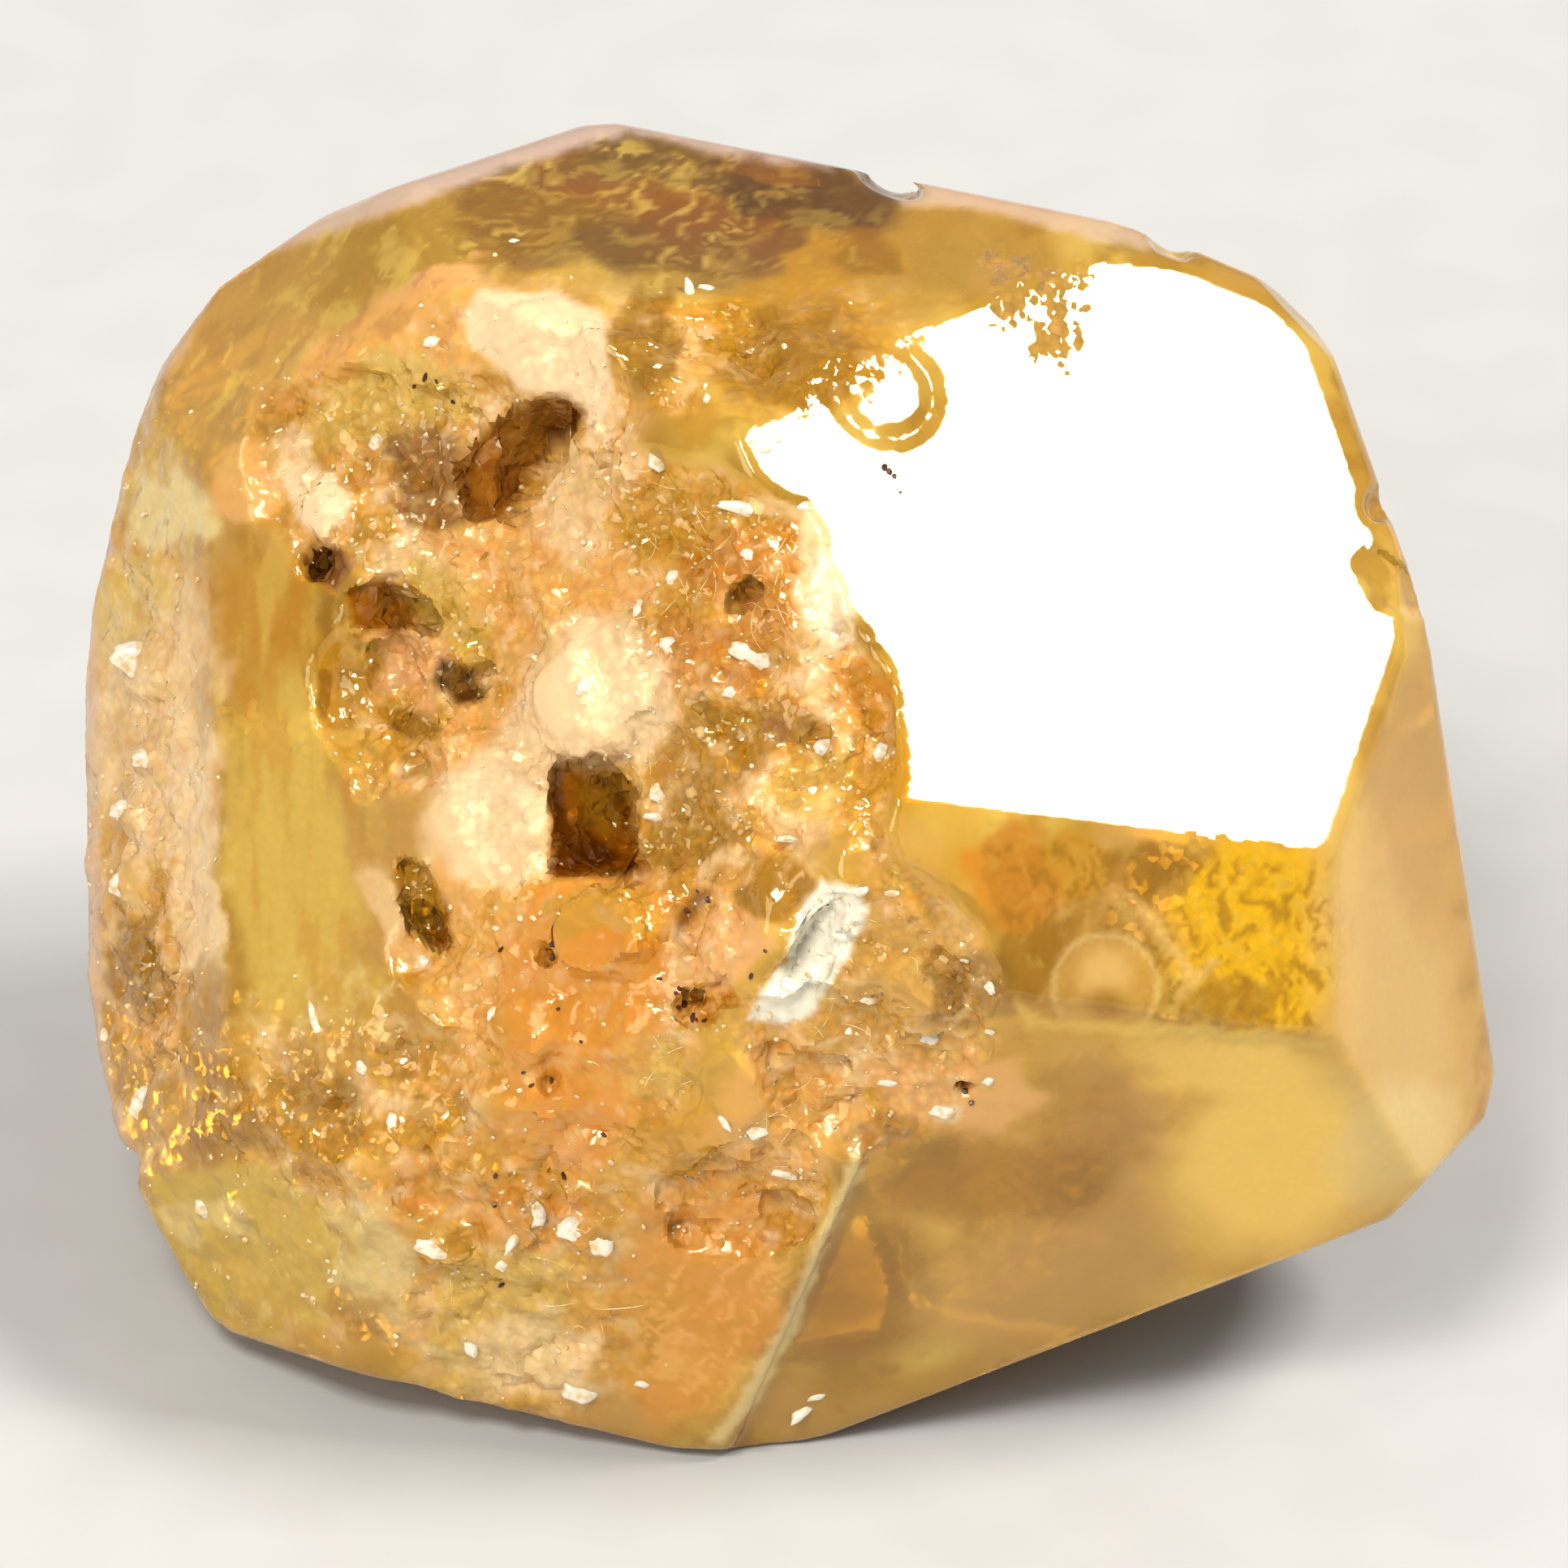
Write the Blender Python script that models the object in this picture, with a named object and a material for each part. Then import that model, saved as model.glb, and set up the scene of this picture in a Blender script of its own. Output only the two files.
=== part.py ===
"""Grossular garnet crystal, one solid piece, about 18 mm long.

A thick, distorted dodecahedral crystal that has been worn in gravel and etched.
Its flat growth faces meet in softened edges. The side that faces forward has a
broad rough hollow with ledges, cobbles, mounds and pits, a ring-shaped etch mark,
a thin step beside the lower right face, and low lumps on the narrow left face.

The shapes are sawn on a millimetre bench, an empty that scales them to metres,
so that the Booleans work on numbers of a comfortable size. +Z is up, and the
front of the crystal looks along -Y. The origin is on the floor, under the middle
of the crystal's outline box.
"""

from collections import namedtuple
from math import cos, exp, floor, radians, sin

import bmesh
import bpy
from mathutils import Matrix, Vector, noise

BENCH_SCALE = 0.001

# Driving sizes
CRYSTAL_NAME = "garnet_crystal"
BASE_DISTANCE = 7.05
ROUGH_BLOCK = 30
CUT_TOLERANCE = 0.0005
NEARLY_PARALLEL = 0.0001
FRONT_VIEW_TILT = radians(35)

# How far an edge is rounded by wear, as the radius that the flats along it touch
FRESH = 0.14
SOFT = 0.32
WORN = 0.62
CORNER_WEAR = 1.25
EDGE_FLATS = (0.25, 0.5, 0.75)

# The growth faces. Azimuth turns from the front towards the right, elevation goes up
# from level, and distance is measured in millimetres from the crystal's heart.
Face = namedtuple("Face", "azimuth elevation distance wear")
FACES = {
    "broad_front": Face(34, 52, 6.05, FRESH),
    "window": Face(21, 28, 6.60, FRESH),
    "right_side": Face(64, 14, 8.30, SOFT),
    "lower_right": Face(8, -13, 6.36, FRESH),
    "lower_front": Face(-10, -7, 6.00, FRESH),
    "broad_left": Face(-42, 30, 4.95, FRESH),
    "narrow_left": Face(-66, 16, 6.80, SOFT),
    "lower_left": Face(-40, -4, 7.35, SOFT),
    "top": Face(-130, 88, 6.95, FRESH),
    "upper_left": Face(-71, 42, 7.20, SOFT),
    "under_right": Face(41, -54, 7.90, SOFT),
    "under_left": Face(-24, -56, 8.60, SOFT),
    "far_right": Face(110, 4, 7.58, WORN),
    "under_far_right": Face(71, -55, 8.35, WORN),
    "crown_back": Face(156, 38, 7.50, WORN),
    "crown_tip": Face(162, 43, 7.75, WORN),
    "crown_right": Face(154, 34, 7.55, WORN),
    "crown_left": Face(-149, 50, 8.85, WORN),
    "far_left_upper": Face(-117, 8, 9.50, WORN),
    "far_left_lower": Face(-105, -12, 9.42, WORN),
    "under_far_left": Face(-89, -31, 9.80, WORN),
    "base": Face(0, -90, 7.05, SOFT),
    "back_under_left": Face(-146, -52, 7.20, WORN),
    "back": Face(-172, 4, 6.25, SOFT),
    "back_under_right": Face(135, -32, 6.80, WORN),
    "back_corner_left": Face(-126, -9, 9.20, WORN),
    "back_right": Face(156, 7, 6.20, SOFT),
}
FRONT_FACES = ("broad_front", "window", "right_side", "lower_right", "lower_front",
               "broad_left", "narrow_left", "lower_left", "top", "upper_left")

# The rough hollow. Each lobe is an ellipse on the front view, in millimetres:
# across, up, half width, half height.
Lobe = namedtuple("Lobe", "across up half_width half_height")
FRONT_LOBES = (
    Lobe(-2.35, 0.70, 3.35, 4.70),
    Lobe(0.35, -0.20, 1.10, 2.60),
    Lobe(1.00, -2.75, 1.75, 1.95),
    Lobe(-4.90, 3.90, 2.10, 1.50),
    Lobe(-3.40, -4.40, 2.60, 1.40),
    Lobe(-1.60, 5.20, 2.00, 1.10),
    Lobe(-0.60, -5.10, 1.20, 1.00),
)
BACK_LOBES = (
    Lobe(-1.2, -0.6, 2.6, 1.9),
    Lobe(1.1, 1.0, 1.7, 1.5),
)
FRONT_ETCH_DEPTH = 0.50
BACK_ETCH_DEPTH = 0.40

# The hollow's surface, sampled every cell. Slow swings are cut into ledges with narrow
# risers, and round-topped cobbles stand on the treads.
ETCH_CELL = 0.25
CELL_JITTER = 0.13
BORDER_CELLS = 3
ETCH_CLEARANCE = 0.45
SPARED_RISE = 1.8
BORDER_FALL = 3.2
LEDGE = 0.30
RISER_SHARE = 0.45
SLOW_GRAIN = 2.1
SLOW_SWING = 0.46
COBBLE_GRAIN = 1.15
COBBLE_SWING = 0.40
COBBLE_MEAN = 0.30
CUTTER_LID = 2.2

# The step: the lower right face lies this much below the thin strip along its left
# edge. The strip ends at a line through two places on the front view, across and up.
STEP_DEPTH = 0.20
STEP_TOP = (0.98, -4.75)
STEP_FOOT = (-0.70, -8.60)

# The etch ring on the broad front face
RING_AT = (1.26, 4.96)
RING_RADIUS = 0.66
RING_GROOVE = 0.085

# Pits on the front view: across, up, width, height, depth, turn in degrees
Pit = namedtuple("Pit", "across up width height depth turn")
ANGULAR_PITS = (
    Pit(-2.30, -0.50, 1.20, 1.60, 1.40, 8),
    Pit(-3.30, 4.05, 0.90, 1.90, 1.05, -42),
    Pit(-4.75, 2.20, 1.00, 0.60, 0.80, -35),
    Pit(0.30, -2.10, 0.50, 2.00, 0.55, -33),
)
ROUND_PITS = (
    Pit(-5.84, 2.78, 0.50, 0.62, 0.60, 0),
    Pit(-5.00, 1.40, 1.05, 1.15, 0.55, 0),
    Pit(-3.95, 1.35, 0.75, 0.55, 0.60, 20),
    Pit(-4.45, -1.75, 0.45, 0.95, 0.60, 30),
    Pit(-1.18, -2.65, 0.50, 0.34, 0.45, 0),
    Pit(-2.95, -3.85, 0.36, 0.36, 0.40, 0),
    Pit(2.25, -3.78, 0.30, 0.30, 0.40, 0),
    Pit(-2.95, -2.20, 0.34, 0.30, 0.36, 0),
    Pit(-0.45, 2.35, 0.80, 0.45, 0.42, 35),
    Pit(-0.70, 3.95, 0.60, 0.38, 0.40, -20),
    Pit(0.35, 0.55, 0.60, 0.50, 0.45, 0),
)

# How uneven the pits, mounds and lumps are, as a share of their size. Each one reads
# the noise a stride further along, so that no two are alike.
PIT_FLOOR = 0.30
PIT_MOUTH = 0.72
PIT_WALLS = 6
PIT_WOBBLE = 0.16
WOBBLE_GRAIN = 0.6
ROUND_PIT_UNEVEN = 0.25
MOUND_UNEVEN = 0.30
LUMP_UNEVEN = 0.12
UNEVEN_GRAIN = 0.3
NOISE_STRIDE = 3.1
CHIP_REACH = 3

# Boulder-like mounds on the hollow's floor: across, up, width, height, rise, turn
Mound = namedtuple("Mound", "across up width height rise turn")
MOUNDS = (
    Mound(-2.15, -1.85, 1.60, 1.25, 0.50, 0),
    Mound(-5.75, 3.45, 0.90, 0.85, 0.45, 0),
    Mound(-2.60, 1.05, 1.25, 1.60, 0.40, 15),
    Mound(-3.20, -3.00, 1.50, 1.10, 0.40, 25),
    Mound(-1.90, 5.35, 1.50, 0.70, 0.40, -25),
)

# Chips out of the crown and the lower rim: the face, across, up, width, height, turn
Chip = namedtuple("Chip", "face across up width height turn")
CHIPS = (
    Chip("top", 1.36, 7.66, 1.10, 0.42, -22),
    Chip("top", 4.90, 6.86, 0.90, 0.40, -30),
    Chip("lower_front", -4.75, -7.85, 1.30, 0.36, -12),
    Chip("narrow_left", -8.55, -5.00, 0.80, 0.55, 60),
    Chip("broad_front", 7.55, 3.55, 0.50, 0.60, -15),
)

# Low lumps: the face, across, up, width, height, rise
Lump = namedtuple("Lump", "face across up width height rise")
LUMPS = (
    Lump("narrow_left", -8.20, 1.42, 1.20, 0.85, 0.22),
    Lump("narrow_left", -8.25, 0.32, 0.60, 0.46, 0.17),
    Lump("narrow_left", -8.40, -0.36, 0.66, 0.52, 0.18),
    Lump("narrow_left", -8.45, -1.30, 0.60, 0.56, 0.17),
    Lump("narrow_left", -7.95, -4.12, 1.05, 0.85, 0.22),
    Lump("lower_front", -3.30, -5.55, 0.50, 1.00, 0.22),
    Lump("lower_front", -2.40, -5.70, 0.80, 0.62, 0.20),
    Lump("lower_front", -4.35, -5.95, 0.64, 0.48, 0.18),
    Lump("lower_front", -4.05, -7.00, 0.50, 0.54, 0.17),
    Lump("lower_left", -6.95, -5.40, 0.54, 0.44, 0.15),
)

TOWARDS_VIEWER = Vector((0, -cos(FRONT_VIEW_TILT), sin(FRONT_VIEW_TILT)))
VIEW_RIGHT = Vector((1, 0, 0))
VIEW_UP = Vector((0, sin(FRONT_VIEW_TILT), cos(FRONT_VIEW_TILT)))
HEART = Vector((0, 0, BASE_DISTANCE))


def clear_scene():
    for old in list(bpy.data.objects):
        bpy.data.objects.remove(old, do_unlink=True)


def new_collection(name, is_helper):
    collection = bpy.data.collections.new(name)
    bpy.context.scene.collection.children.link(collection)
    collection.hide_render = is_helper
    return collection


def outward(face):
    """Unit vector out of a growth face."""
    azimuth = radians(face.azimuth)
    elevation = radians(face.elevation)
    level = cos(elevation)
    return Vector((sin(azimuth) * level, -cos(azimuth) * level, sin(elevation)))


def depth_on(face, across, up):
    """How near the viewer a face lies at a place on the front view, from the heart."""
    normal = outward(face)
    flat_place = VIEW_RIGHT * across + VIEW_UP * up
    return (face.distance - normal.dot(flat_place)) / normal.dot(TOWARDS_VIEWER)


def front_depth(across, up):
    """The nearest that the unetched crystal comes to the viewer at a place."""
    return min(depth_on(FACES[name], across, up) for name in FRONT_FACES)


def place_on_view(across, up, depth):
    return HEART + VIEW_RIGHT * across + VIEW_UP * up + TOWARDS_VIEWER * depth


def frame_at(place, out, turn_degrees):
    """A matrix that stands a shape on a place with its z axis along `out`."""
    side = VIEW_UP.cross(out).normalized()
    top = out.cross(side).normalized()
    axes = Matrix((side, top, out)).transposed().to_4x4()
    return Matrix.Translation(place) @ axes @ Matrix.Rotation(radians(turn_degrees), 4, "Z")


def cut_flat(mesh, normal, distance):
    """Saws a flat off the block at a distance from the heart and closes the cut."""
    cut = bmesh.ops.bisect_plane(
        mesh,
        geom=mesh.verts[:] + mesh.edges[:] + mesh.faces[:],
        dist=CUT_TOLERANCE,
        plane_co=HEART + normal * distance,
        plane_no=normal,
        clear_outer=True,
    )
    rim = [item for item in cut["geom_cut"] if isinstance(item, bmesh.types.BMEdge)]
    open_rim = [edge for edge in rim if len(edge.link_faces) == 1]
    if len(open_rim) > 2:
        bmesh.ops.edgenet_fill(mesh, edges=open_rim)


def wear_of(normal):
    """The rounding radius of the growth face that points this way."""
    nearest = max(FACES.values(), key=lambda face: outward(face).dot(normal))
    return nearest.wear


def edge_flats(edge):
    """The flats that touch a round of the edge's wear radius: (normal, distance)."""
    first, second = (face.normal.normalized() for face in edge.link_faces)
    radius = max(wear_of(first), wear_of(second))
    corner = edge.verts[0].co - HEART
    along = first.cross(second)
    cosine = first.dot(second)
    reach = radius / (1 + cosine)
    centre = corner - (first + second) * reach
    flats = []
    for share in EDGE_FLATS:
        normal = (first * (1 - share) + second * share).normalized()
        flats.append((normal, normal.dot(centre) + radius))
    return flats if along.length > NEARLY_PARALLEL else []


def corner_flat(vertex):
    """The flat that takes the point off a corner."""
    normals = [face.normal.normalized() for face in vertex.link_faces]
    radius = max(wear_of(normal) for normal in normals) * CORNER_WEAR
    out = sum(normals, Vector()).normalized()
    steepness = min(out.dot(normal) for normal in normals)
    loss = radius * (1 / steepness - 1)
    return out, out.dot(vertex.co - HEART) - loss


def crystal_form(collection):
    """The crystal with its growth faces and worn edges, before etching."""
    mesh = bmesh.new()
    bmesh.ops.create_cube(mesh, size=ROUGH_BLOCK, matrix=Matrix.Translation(HEART))
    for face in FACES.values():
        cut_flat(mesh, outward(face), face.distance)
    mesh.normal_update()
    flats = [corner_flat(vertex) for vertex in mesh.verts]
    for edge in mesh.edges:
        flats += edge_flats(edge)
    for normal, distance in flats:
        cut_flat(mesh, normal, distance)
    bmesh.ops.dissolve_degenerate(mesh, edges=mesh.edges[:], dist=CUT_TOLERANCE)
    return object_from(mesh, CRYSTAL_NAME, collection)


def object_from(mesh, name, collection):
    """Makes an object of a closed mesh, with its faces pointing outwards."""
    bmesh.ops.recalc_face_normals(mesh, faces=mesh.faces[:])
    if mesh.calc_volume(signed=True) < 0:
        bmesh.ops.reverse_faces(mesh, faces=mesh.faces[:])
    data = bpy.data.meshes.new(name)
    mesh.to_mesh(data)
    mesh.free()
    made = bpy.data.objects.new(name, data)
    collection.objects.link(made)
    return made


def as_cutter(made):
    made.hide_render = True
    made.display_type = "WIRE"
    return made


def lobe_field(lobes, across, up):
    """Above 0 inside the lobes, 1 at a middle, and falling away outside them."""
    best = -1.0
    for lobe in lobes:
        x = (across - lobe.across) / lobe.half_width
        y = (up - lobe.up) / lobe.half_height
        best = max(best, 1 - x * x - y * y)
    return best


def etch_bite(field, place, full_depth):
    """How deep the etching bites at a place, below 0 where it spares the surface."""
    slow = noise.noise(place / SLOW_GRAIN) * SLOW_SWING
    wanted = full_depth * (1 - exp(-BORDER_FALL * max(field, 0))) + slow
    tread = floor(wanted / LEDGE)
    past_tread = wanted / LEDGE - tread - (1 - RISER_SHARE)
    ledged = (tread + max(past_tread, 0) / RISER_SHARE) * LEDGE
    from_middle = noise.voronoi(place / COBBLE_GRAIN)[0][0]
    cobble = (from_middle ** 2 - COBBLE_MEAN) * COBBLE_SWING
    spared = min(field, 0) * SPARED_RISE
    return max(ledged + cobble + spared, -ETCH_CLEARANCE)


def etching_block(name, lobes, full_depth, surface, to_world, collection):
    """A block whose underside follows `surface`, lowered where the lobes are."""
    border = BORDER_CELLS * ETCH_CELL
    left = min(lobe.across - lobe.half_width for lobe in lobes) - border
    right = max(lobe.across + lobe.half_width for lobe in lobes) + border
    low = min(lobe.up - lobe.half_height for lobe in lobes) - border
    high = max(lobe.up + lobe.half_height for lobe in lobes) + border
    mesh = bmesh.new()
    bmesh.ops.create_grid(
        mesh,
        x_segments=round((right - left) / ETCH_CELL),
        y_segments=round((high - low) / ETCH_CELL),
        size=0.5,
    )
    for vertex in mesh.verts:
        across = left + (vertex.co.x + 0.5) * (right - left)
        up = low + (vertex.co.y + 0.5) * (high - low)
        shift = noise.cell_vector(Vector((across, up, 0)) / ETCH_CELL)
        across += (shift.x - 0.5) * CELL_JITTER
        up += (shift.y - 0.5) * CELL_JITTER
        depth = surface(across, up)
        field = lobe_field(lobes, across, up)
        bite = etch_bite(field, Vector((across, up, depth)), full_depth)
        vertex.co = Vector((across, up, depth - bite))
    lid_height = max(vertex.co.z for vertex in mesh.verts) + CUTTER_LID
    lid = bmesh.ops.extrude_face_region(
        mesh,
        geom=mesh.verts[:] + mesh.edges[:] + mesh.faces[:],
        use_keep_orig=True,
    )
    for item in lid["geom"]:
        if isinstance(item, bmesh.types.BMVert):
            item.co.z = lid_height
    for vertex in mesh.verts:
        vertex.co = to_world(vertex.co)
    return as_cutter(object_from(mesh, name, collection))


def front_etching(collection):
    """The broad rough hollow in the front of the crystal."""
    return etching_block(
        "front_etching",
        FRONT_LOBES,
        FRONT_ETCH_DEPTH,
        front_depth,
        lambda local: place_on_view(local.x, local.y, local.z),
        collection,
    )


def back_etching(name, face_name, lobes, collection):
    """A rough patch on one of the faces behind, in that face's own frame."""
    face = FACES[face_name]
    out = outward(face)
    stand = frame_at(HEART + out * face.distance, out, 0)
    return etching_block(
        name,
        lobes,
        BACK_ETCH_DEPTH,
        lambda across, up: 0.0,
        lambda local: stand @ local,
        collection,
    )


def step_cutter(collection):
    """Lowers the lower right face up to a line beside the lower front face."""
    face = FACES["lower_right"]
    normal = outward(face)
    top = VIEW_RIGHT * STEP_TOP[0] + VIEW_UP * STEP_TOP[1]
    foot = VIEW_RIGHT * STEP_FOOT[0] + VIEW_UP * STEP_FOOT[1]
    riser = TOWARDS_VIEWER.cross(foot - top).normalized()
    mesh = bmesh.new()
    bmesh.ops.create_cube(mesh, size=ROUGH_BLOCK, matrix=Matrix.Translation(HEART))
    cut_flat(mesh, -normal, STEP_DEPTH - face.distance)
    cut_flat(mesh, -riser, -riser.dot(top))
    return as_cutter(object_from(mesh, "step", collection))


def ring_cutter(collection):
    """The shallow round groove of the etch ring."""
    across, up = RING_AT
    face = FACES["broad_front"]
    place = place_on_view(across, up, depth_on(face, across, up))
    bpy.ops.mesh.primitive_torus_add(
        major_radius=RING_RADIUS,
        minor_radius=RING_GROOVE,
        major_segments=28,
        minor_segments=8,
    )
    ring = bpy.context.active_object
    ring.name = "etch_ring"
    ring.matrix_world = frame_at(place, outward(face), 0)
    for owner in list(ring.users_collection):
        owner.objects.unlink(ring)
    collection.objects.link(ring)
    return as_cutter(ring)


def pit_stand(pit):
    """The frame of a pit on the front view, on the face that is there."""
    across = pit.across
    up = pit.up
    nearest = min(FRONT_FACES, key=lambda name: depth_on(FACES[name], across, up))
    out = (outward(FACES[nearest]) + TOWARDS_VIEWER).normalized()
    place = place_on_view(across, up, front_depth(across, up) - FRONT_ETCH_DEPTH)
    return frame_at(place, out, pit.turn)


def angular_pit(index, pit, collection):
    """A pit with flat walls, narrower at its floor."""
    mesh = bmesh.new()
    bmesh.ops.create_cone(
        mesh,
        cap_ends=True,
        segments=PIT_WALLS,
        radius1=PIT_FLOOR,
        radius2=PIT_MOUTH,
        depth=2,
    )
    stride = Vector((index * NOISE_STRIDE, 0, 0))
    for vertex in mesh.verts:
        vertex.co += noise.noise_vector(vertex.co / WOBBLE_GRAIN + stride) * PIT_WOBBLE
    bmesh.ops.scale(mesh, vec=(pit.width, pit.height, pit.depth), verts=mesh.verts)
    made = object_from(mesh, f"angular_pit_{index}", collection)
    made.matrix_world = pit_stand(pit)
    return as_cutter(made)


def uneven_ball(index, size, unevenness, subdivisions=2):
    """A ball of a width, height and depth, with a slightly uneven surface."""
    mesh = bmesh.new()
    bmesh.ops.create_icosphere(mesh, subdivisions=subdivisions, radius=0.5)
    stride = Vector((index * NOISE_STRIDE, 0, 0))
    for vertex in mesh.verts:
        vertex.co *= 1 + unevenness * noise.noise(vertex.co / UNEVEN_GRAIN + stride)
    bmesh.ops.scale(mesh, vec=size, verts=mesh.verts)
    return mesh


def round_pit(index, pit, collection):
    """A small dimple with an uneven wall."""
    mesh = uneven_ball(index, (pit.width, pit.height, 2 * pit.depth), ROUND_PIT_UNEVEN)
    made = object_from(mesh, f"round_pit_{index}", collection)
    made.matrix_world = pit_stand(pit)
    return as_cutter(made)


def mound(index, rise, collection):
    """A boulder-like mound on the hollow's floor."""
    mesh = uneven_ball(index, (rise.width, rise.height, 2 * rise.rise), MOUND_UNEVEN)
    made = object_from(mesh, f"mound_{index}", collection)
    made.matrix_world = pit_stand(rise)
    return as_cutter(made)


def lump(index, rise, collection):
    """A low bubble-like lump that stands on a face."""
    face = FACES[rise.face]
    mesh = uneven_ball(index, (rise.width, rise.height, 2 * rise.rise), LUMP_UNEVEN)
    made = object_from(mesh, f"lump_{index}", collection)
    place = place_on_view(rise.across, rise.up, depth_on(face, rise.across, rise.up))
    made.matrix_world = frame_at(place, outward(face), 0)
    return as_cutter(made)


def chip(index, bite, collection):
    """A wedge out of a rim, cut straight back from the viewer."""
    face = FACES[bite.face]
    reach = CHIP_REACH * bite.width
    mesh = uneven_ball(index, (bite.width, bite.height, reach), 0, subdivisions=1)
    made = object_from(mesh, f"chip_{index}", collection)
    place = place_on_view(bite.across, bite.up, depth_on(face, bite.across, bite.up))
    made.matrix_world = frame_at(place, TOWARDS_VIEWER, bite.turn)
    return as_cutter(made)


def use_tool(crystal, tool, operation):
    """Cuts the crystal with a tool, or joins the tool to it."""
    step = crystal.modifiers.new(tool.name, "BOOLEAN")
    step.operation = operation
    step.object = tool
    step.solver = "EXACT"


def garnet_material():
    material = bpy.data.materials.new("honey_garnet")
    material.use_nodes = True
    glass = material.node_tree.nodes["Principled BSDF"]
    glass.inputs["Base Color"].default_value = (0.80, 0.50, 0.14, 1)
    glass.inputs["Roughness"].default_value = 0.16
    glass.inputs["Metallic"].default_value = 0
    glass.inputs["IOR"].default_value = 1.74
    glass.inputs["Transmission Weight"].default_value = 0.6
    return material


def outline_box(crystal):
    """The lowest and highest corners of the finished crystal, on the bench."""
    bpy.context.view_layer.update()
    finished = crystal.evaluated_get(bpy.context.evaluated_depsgraph_get())
    points = [vertex.co for vertex in finished.data.vertices]
    lowest = Vector(min(point[axis] for point in points) for axis in range(3))
    highest = Vector(max(point[axis] for point in points) for axis in range(3))
    return lowest, highest


def lift_off_bench(made, crystal):
    """Hangs everything on an empty that turns millimetres into metres."""
    lowest, highest = outline_box(crystal)
    middle = (lowest + highest) / 2
    bench = bpy.data.objects.new("millimetre_bench", None)
    bpy.context.scene.collection.objects.link(bench)
    bench.scale = (BENCH_SCALE, BENCH_SCALE, BENCH_SCALE)
    bench.location = (-middle.x * BENCH_SCALE, -middle.y * BENCH_SCALE, 0)
    for one in made:
        one.parent = bench


def build():
    clear_scene()
    pieces = new_collection(CRYSTAL_NAME, False)
    tools = new_collection("garnet_cutters", True)
    crystal = crystal_form(pieces)
    crystal.data.materials.append(garnet_material())
    etching = [
        front_etching(tools),
        back_etching("back_etching", "back", BACK_LOBES, tools),
        step_cutter(tools),
    ]
    raised = [mound(index, rise, tools) for index, rise in enumerate(MOUNDS)]
    raised += [lump(index, rise, tools) for index, rise in enumerate(LUMPS)]
    marks = [ring_cutter(tools)]
    marks += [angular_pit(index, pit, tools) for index, pit in enumerate(ANGULAR_PITS)]
    marks += [round_pit(index, pit, tools) for index, pit in enumerate(ROUND_PITS)]
    marks += [chip(index, bite, tools) for index, bite in enumerate(CHIPS)]
    for tool in etching:
        use_tool(crystal, tool, "DIFFERENCE")
    for tool in raised:
        use_tool(crystal, tool, "UNION")
    for tool in marks:
        use_tool(crystal, tool, "DIFFERENCE")
    lift_off_bench([crystal] + etching + raised + marks, crystal)


build()
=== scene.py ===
import random
from math import cos, pi, radians, sin

import bmesh
import bpy
import numpy as np
from mathutils import Matrix, Vector, bvhtree, kdtree, noise


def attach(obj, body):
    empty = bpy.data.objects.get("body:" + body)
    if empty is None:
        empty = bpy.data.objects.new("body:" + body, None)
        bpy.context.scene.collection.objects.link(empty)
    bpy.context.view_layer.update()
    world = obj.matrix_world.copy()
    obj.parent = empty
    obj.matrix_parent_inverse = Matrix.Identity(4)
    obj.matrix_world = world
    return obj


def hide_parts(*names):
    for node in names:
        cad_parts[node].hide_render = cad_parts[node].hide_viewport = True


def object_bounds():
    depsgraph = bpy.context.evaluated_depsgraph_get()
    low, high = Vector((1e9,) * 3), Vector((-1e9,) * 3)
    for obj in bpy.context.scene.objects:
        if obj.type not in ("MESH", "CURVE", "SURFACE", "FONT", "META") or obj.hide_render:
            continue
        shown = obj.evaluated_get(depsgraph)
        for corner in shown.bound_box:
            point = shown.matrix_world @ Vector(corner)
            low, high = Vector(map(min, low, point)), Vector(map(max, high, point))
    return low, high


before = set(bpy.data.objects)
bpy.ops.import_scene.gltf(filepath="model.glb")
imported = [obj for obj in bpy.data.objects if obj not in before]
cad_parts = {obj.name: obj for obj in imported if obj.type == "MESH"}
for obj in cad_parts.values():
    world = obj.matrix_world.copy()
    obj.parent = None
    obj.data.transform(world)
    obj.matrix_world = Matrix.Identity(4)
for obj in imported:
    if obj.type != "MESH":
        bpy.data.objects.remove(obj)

cad_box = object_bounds()

# The crystal: one piece of grossular garnet. It grew as a thick twelve-sided crystal, was
# etched on the side that faces the viewer, and was worn round in gravel. It is shaped in
# millimetres on a bench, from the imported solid, and becomes metres at the end.
MM = 0.001
MERGE_WITHIN = 0.0001
HEART = Vector((-0.02, -0.22, 7.05))
VIEW_DISTANCE = 220
VIEW_TILT = radians(35)
VIEW_RIGHT = Vector((1, 0, 0))
VIEW_UP = Vector((0, sin(VIEW_TILT), cos(VIEW_TILT)))
TOWARDS_VIEWER = Vector((0, -cos(VIEW_TILT), sin(VIEW_TILT)))


def only(piece):
    """Makes a piece the one that the operators work on."""
    bpy.ops.object.select_all(action="DESELECT")
    piece.select_set(True)
    bpy.context.view_layer.objects.active = piece
    return piece


def apply_all(piece):
    """Applies a piece's modifiers from the top down."""
    only(piece)
    for modifier in list(piece.modifiers):
        bpy.ops.object.modifier_apply(modifier=modifier.name)


def scale_about_origin(piece, factor):
    only(piece)
    bpy.ops.transform.resize(value=(factor,) * 3, center_override=(0, 0, 0))
    bpy.ops.object.transform_apply(location=True, rotation=True, scale=True)


def put_in_scene(name, data):
    piece = bpy.data.objects.new(name, data)
    bpy.context.scene.collection.objects.link(piece)
    return piece


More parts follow.
